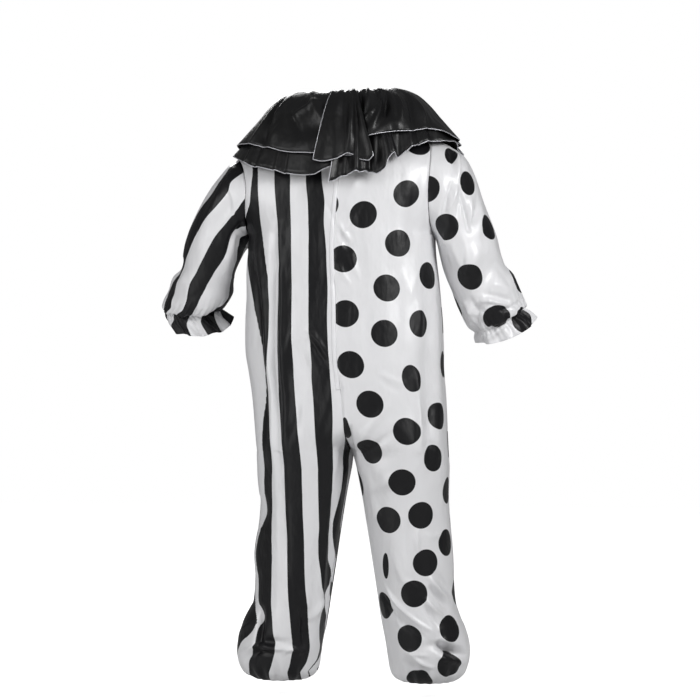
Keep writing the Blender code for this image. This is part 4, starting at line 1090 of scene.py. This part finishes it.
class Paint:
    """A material with a Principled shader, and one method that adds any other node."""

    def __init__(self, name, **constants):
        self.material = bpy.data.materials.new(name)
        self.material.use_nodes = True
        self.nodes, self.links = self.material.node_tree.nodes, self.material.node_tree.links
        self.shader = self.nodes["Principled BSDF"]
        for label, value in constants.items():
            label = label.replace("_", " ").title().replace("Ior", "IOR")
            self.shader.inputs[label].default_value = value

    def node(self, kind, settings=None, *values, output=0, **named):
        """Add a node: its settings first, then the values or links of its sockets."""
        node = self.nodes.new(kind)
        for label, value in (settings or {}).items():
            setattr(node, label, value)
        sockets = dict(enumerate(values))
        sockets.update((key.replace("_", " "), value) for key, value in named.items())
        for key, value in sockets.items():
            self.join(node.inputs[key], value)
        return Wire(self, node.outputs[output])

    def join(self, socket, value):
        """Link a wire to a socket, or set the socket's own value."""
        if isinstance(value, Wire):
            self.links.new(value.socket, socket)
        else:
            socket.default_value = value

    def feed(self, label, value):
        """Give one input of the shader a value that varies over the surface."""
        self.join(self.shader.inputs[label], value)

    def attribute(self, name):
        """A number stored with the mesh's points."""
        return self.node("ShaderNodeAttribute", {"attribute_name": name}, output="Fac")

    def noise(self, scale, detail=2.0, stretch=(1.0, 1.0, 1.0)):
        """Soft random values between 0 and 1, on the object's own coordinates."""
        place = self.node("ShaderNodeTexCoord", output="Object")
        place = self.node("ShaderNodeMapping", {}, Vector=place, Scale=stretch)
        return self.node("ShaderNodeTexNoise", {}, output="Fac", Vector=place, Scale=scale,
                         Detail=detail)

    def blend(self, factor, first, second):
        """A colour between two others."""
        return self.node("ShaderNodeMix", {"data_type": "RGBA"}, output="Result", Factor=factor,
                         **{"A": (*first, 1.0) if isinstance(first, tuple) else first,
                            "B": (*second, 1.0) if isinstance(second, tuple) else second})


# %% [markdown]
# ## Satin
# Satin's long floats of thread give it a soft gloss.  Its colour is plain, its gloss is broad, and
# small unevenness of the cloth stretches and bends the lights.  So the finish is a low roughness
# that wavers a little, a faint bump for the slack of the cloth and a finer one for the threads.
# White satin shows its folds as cool greys.  The black print is a little duller than the white
# beside it, and has none of the white's extra sheen.

# %% Satin finishes
WHITE = (0.73, 0.73, 0.745)
WHITE_SHEEN = 0.62
WHITE_DRIFT = 0.965
INK = (0.004, 0.004, 0.005)
INK_DULLS = 0.07
STRIPE_HALF_WIDTH = 0.02225
PRINT_EDGE = 0.0005
SLACK = dict(scale=16.0, detail=3.0, stretch=(1.0, 1.0, 0.45))
THREADS = dict(scale=900.0, detail=1.0, stretch=(1.0, 1.0, 0.25))
CRUMPLE = dict(scale=48.0, detail=2.0, stretch=(1.0, 1.0, 0.6))
SLACK_HEIGHT = 0.012
CRUMPLE_SHARE, THREAD_SHARE = 0.09, 0.02        # of the slack's height
GLOSS_SWING = 0.10
SHEEN_ROUGHNESS = 0.34


def satin(name, roughness, bump, specular=0.31):
    """A satin finish with a bumpy gloss, and its colour still to be given.

    Its roughness is the one named, less half a swing, plus the slack's share of a whole swing.
    """
    paint = Paint(name, roughness=roughness, specular_ior_level=specular,
                  coat_roughness=SHEEN_ROUGHNESS)
    slack, threads, crumple = (paint.noise(**kind) for kind in (SLACK, THREADS, CRUMPLE))
    height = slack + crumple * CRUMPLE_SHARE + threads * THREAD_SHARE
    normal = paint.node("ShaderNodeBump", {}, output="Normal", Height=height, Strength=bump,
                        Distance=SLACK_HEIGHT)
    paint.feed("Normal", normal)
    paint.gloss = slack * GLOSS_SWING + (roughness - GLOSS_SWING / 2)
    paint.feed("Roughness", paint.gloss)
    return paint


def printed(paint, black):
    """Print: duller ink where the mask is 1, a cool drift and a stronger sheen in the white."""
    drift = paint.noise(5.0, 2.0)
    ground = paint.blend(drift, WHITE, tuple(WHITE_DRIFT * c for c in WHITE))
    paint.feed("Base Color", paint.blend(black, ground, INK))
    paint.feed("Coat Weight", (1 - black) * WHITE_SHEEN)
    paint.feed("Roughness", black * INK_DULLS + paint.gloss)


# %% The suit's finishes
striped = satin("striped_satin", 0.37, 0.75)
cycle = (striped.attribute("stripe") / STRIPE_PERIOD + 0.5).fraction() - 0.5
printed(striped, (cycle.size() * STRIPE_PERIOD).below(STRIPE_HALF_WIDTH, PRINT_EDGE))

dotted = satin("dotted_satin", 0.37, 0.75)
printed(dotted, dotted.attribute("dot").below(DOT_RADIUS, PRINT_EDGE))

black = satin("black_satin", 0.39, 0.65)
jet, faded = (0.004, 0.004, 0.004), (0.009, 0.009, 0.010)
black.feed("Base Color", black.blend(black.noise(7.0), jet, faded))

plain = satin("white_satin", 0.36, 0.5, specular=0.5)
plain.feed("Base Color", plain.blend(plain.noise(5.0), WHITE, (0.73, 0.73, 0.75)))

silver = Paint("silver_thread", metallic=0.85, roughness=0.35)
glitter = silver.noise(1400.0, 2.0)
silver.feed("Base Color", silver.blend(glitter, (0.25, 0.25, 0.27), (0.95, 0.95, 1.0)))
silver.feed("Roughness", glitter * 0.5 + 0.15)
print("finishes:", [paint.material.name for paint in (striped, dotted, black, plain, silver)])

# %% [markdown]
# ## Joining looks and solids
# Each cloth piece stands in for the plain solid it was shaped on: it takes a finish, and that
# solid is hidden.

# %% Finishes, and the solids they replace
FINISH = {"left": ("striped_satin", striped), "right": ("dotted_satin", dotted)}


def dress(piece, slot, paint, *nodes):
    """Give a piece its finish and hide the solids that it replaces.  The slot is not used."""
    piece.data.materials.append(paint.material)
    if nodes:
        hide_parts(*nodes)


for name, panel in panels.items():
    slot, paint = FINISH[name.split("_")[1]]
    dress(panel["piece"], slot, paint, name)
for side, sleeve in sleeves.items():
    slot, paint = FINISH[side]
    dress(sleeve, slot, paint, f"sleeve_{side}")
dress(strip, "striped_satin", plain, "back_placket")
for layer, (ruffle, _) in ruffles.items():
    dress(ruffle, "black_satin", black, f"collar_{layer}")
    dress(edgings[layer], "black_satin", silver)
dress(band, "black_satin", black, "collar_band")
print("dressed:", len(panels), "panels,", len(sleeves), "sleeves,", len(ruffles), "ruffles")

# %% [markdown]
# ## Floor, light and camera
# A pale floor and broad soft lights suit satin: each light becomes one long gentle highlight on
# the folds.  The camera looks at the back, a little from the wearer's right, from waist height.

# %% Floor and room
FLOOR_HEIGHT = -NECK_HEIGHT
FLOOR_REACH = 6.0
ROOM_LIGHT = 0.16

floor_mesh = bpy.data.meshes.new("floor")
corners = FLOOR_REACH * np.array([(-1, -1, 0), (1, -1, 0), (1, 1, 0), (-1, 1, 0)])
floor_mesh.from_pydata((corners + (0, 0, FLOOR_HEIGHT)).tolist(), [], [(0, 1, 2, 3)])
floor = bpy.data.objects.new("floor", floor_mesh)
bpy.context.scene.collection.objects.link(floor)
pale = Paint("pale_floor", roughness=0.9, emission_strength=1.0, specular_ior_level=0.0)
pale.feed("Base Color", pale.blend(pale.noise(3.0), (0.56, 0.56, 0.56), (0.58, 0.58, 0.58)))
direct = pale.node("ShaderNodeLightPath", output="Is Camera Ray")
pale.feed("Emission Color", pale.blend(direct, (0.05, 0.05, 0.05), (0.90, 0.90, 0.90)))
floor_mesh.materials.append(pale.material)

world = bpy.data.worlds.new("studio")
bpy.context.scene.world = world
world.use_nodes = True
sky = world.node_tree.nodes["Background"].inputs
sky["Color"].default_value = (1.0, 1.0, 1.0, 1.0)
seen = world.node_tree.nodes.new("ShaderNodeLightPath")
bright = world.node_tree.nodes.new("ShaderNodeMapRange")
bright.inputs["To Min"].default_value, bright.inputs["To Max"].default_value = ROOM_LIGHT, 1.0
world.node_tree.links.new(seen.outputs["Is Camera Ray"], bright.inputs["Value"])
world.node_tree.links.new(bright.outputs["Result"], sky["Strength"])
bpy.context.scene.view_settings.view_transform = "Standard"

# %% Lights
LIGHT_TARGET = np.array((0.0, 0.0, -0.6))
LIGHTS = table("turn distance height size power", """
    228 2700 600 1000 57; 134 2800 400 1400 28; 190 3500 2000 1200 9; 15 3200 1600 1400 76
    146 2000 -1150 600 5
""", plain="turn power")
for number, (turn, distance, height, size, power) in enumerate(zip(*LIGHTS.values())):
    lamp = bpy.data.lights.new(f"soft_light_{number}", "AREA")
    lamp.energy, lamp.size = power, size
    light = bpy.data.objects.new(lamp.name, lamp)
    turn = math.radians(turn)
    light.location = (math.sin(turn) * distance, -math.cos(turn) * distance, height)
    aim = LIGHT_TARGET - np.array(light.location)
    light.rotation_euler = (math.atan2(math.hypot(aim[0], aim[1]), -aim[2]), 0.0,
                            math.atan2(aim[1], aim[0]) - math.pi / 2)
    bpy.context.scene.collection.objects.link(light)

# %% Camera
CAMERA_TURN = math.radians(187.0)
CAMERA_DISTANCE = 5.0
CAMERA_TARGET = (-0.0003, 0.0014, -0.641)
LENS, SENSOR = 98.1, 36.0

camera_data = bpy.data.cameras.new("camera")
camera_data.lens, camera_data.sensor_width = LENS, SENSOR
camera = bpy.data.objects.new("camera", camera_data)
camera.location = (CAMERA_TARGET[0] + CAMERA_DISTANCE * math.sin(CAMERA_TURN),
                   CAMERA_TARGET[1] - CAMERA_DISTANCE * math.cos(CAMERA_TURN), CAMERA_TARGET[2])
camera.rotation_euler = (math.pi / 2, 0.0, CAMERA_TURN)
bpy.context.scene.collection.objects.link(camera)
bpy.context.scene.camera = camera
print("lights:", len(LIGHTS["turn"]), "camera at", [round(v, 3) for v in camera.location])
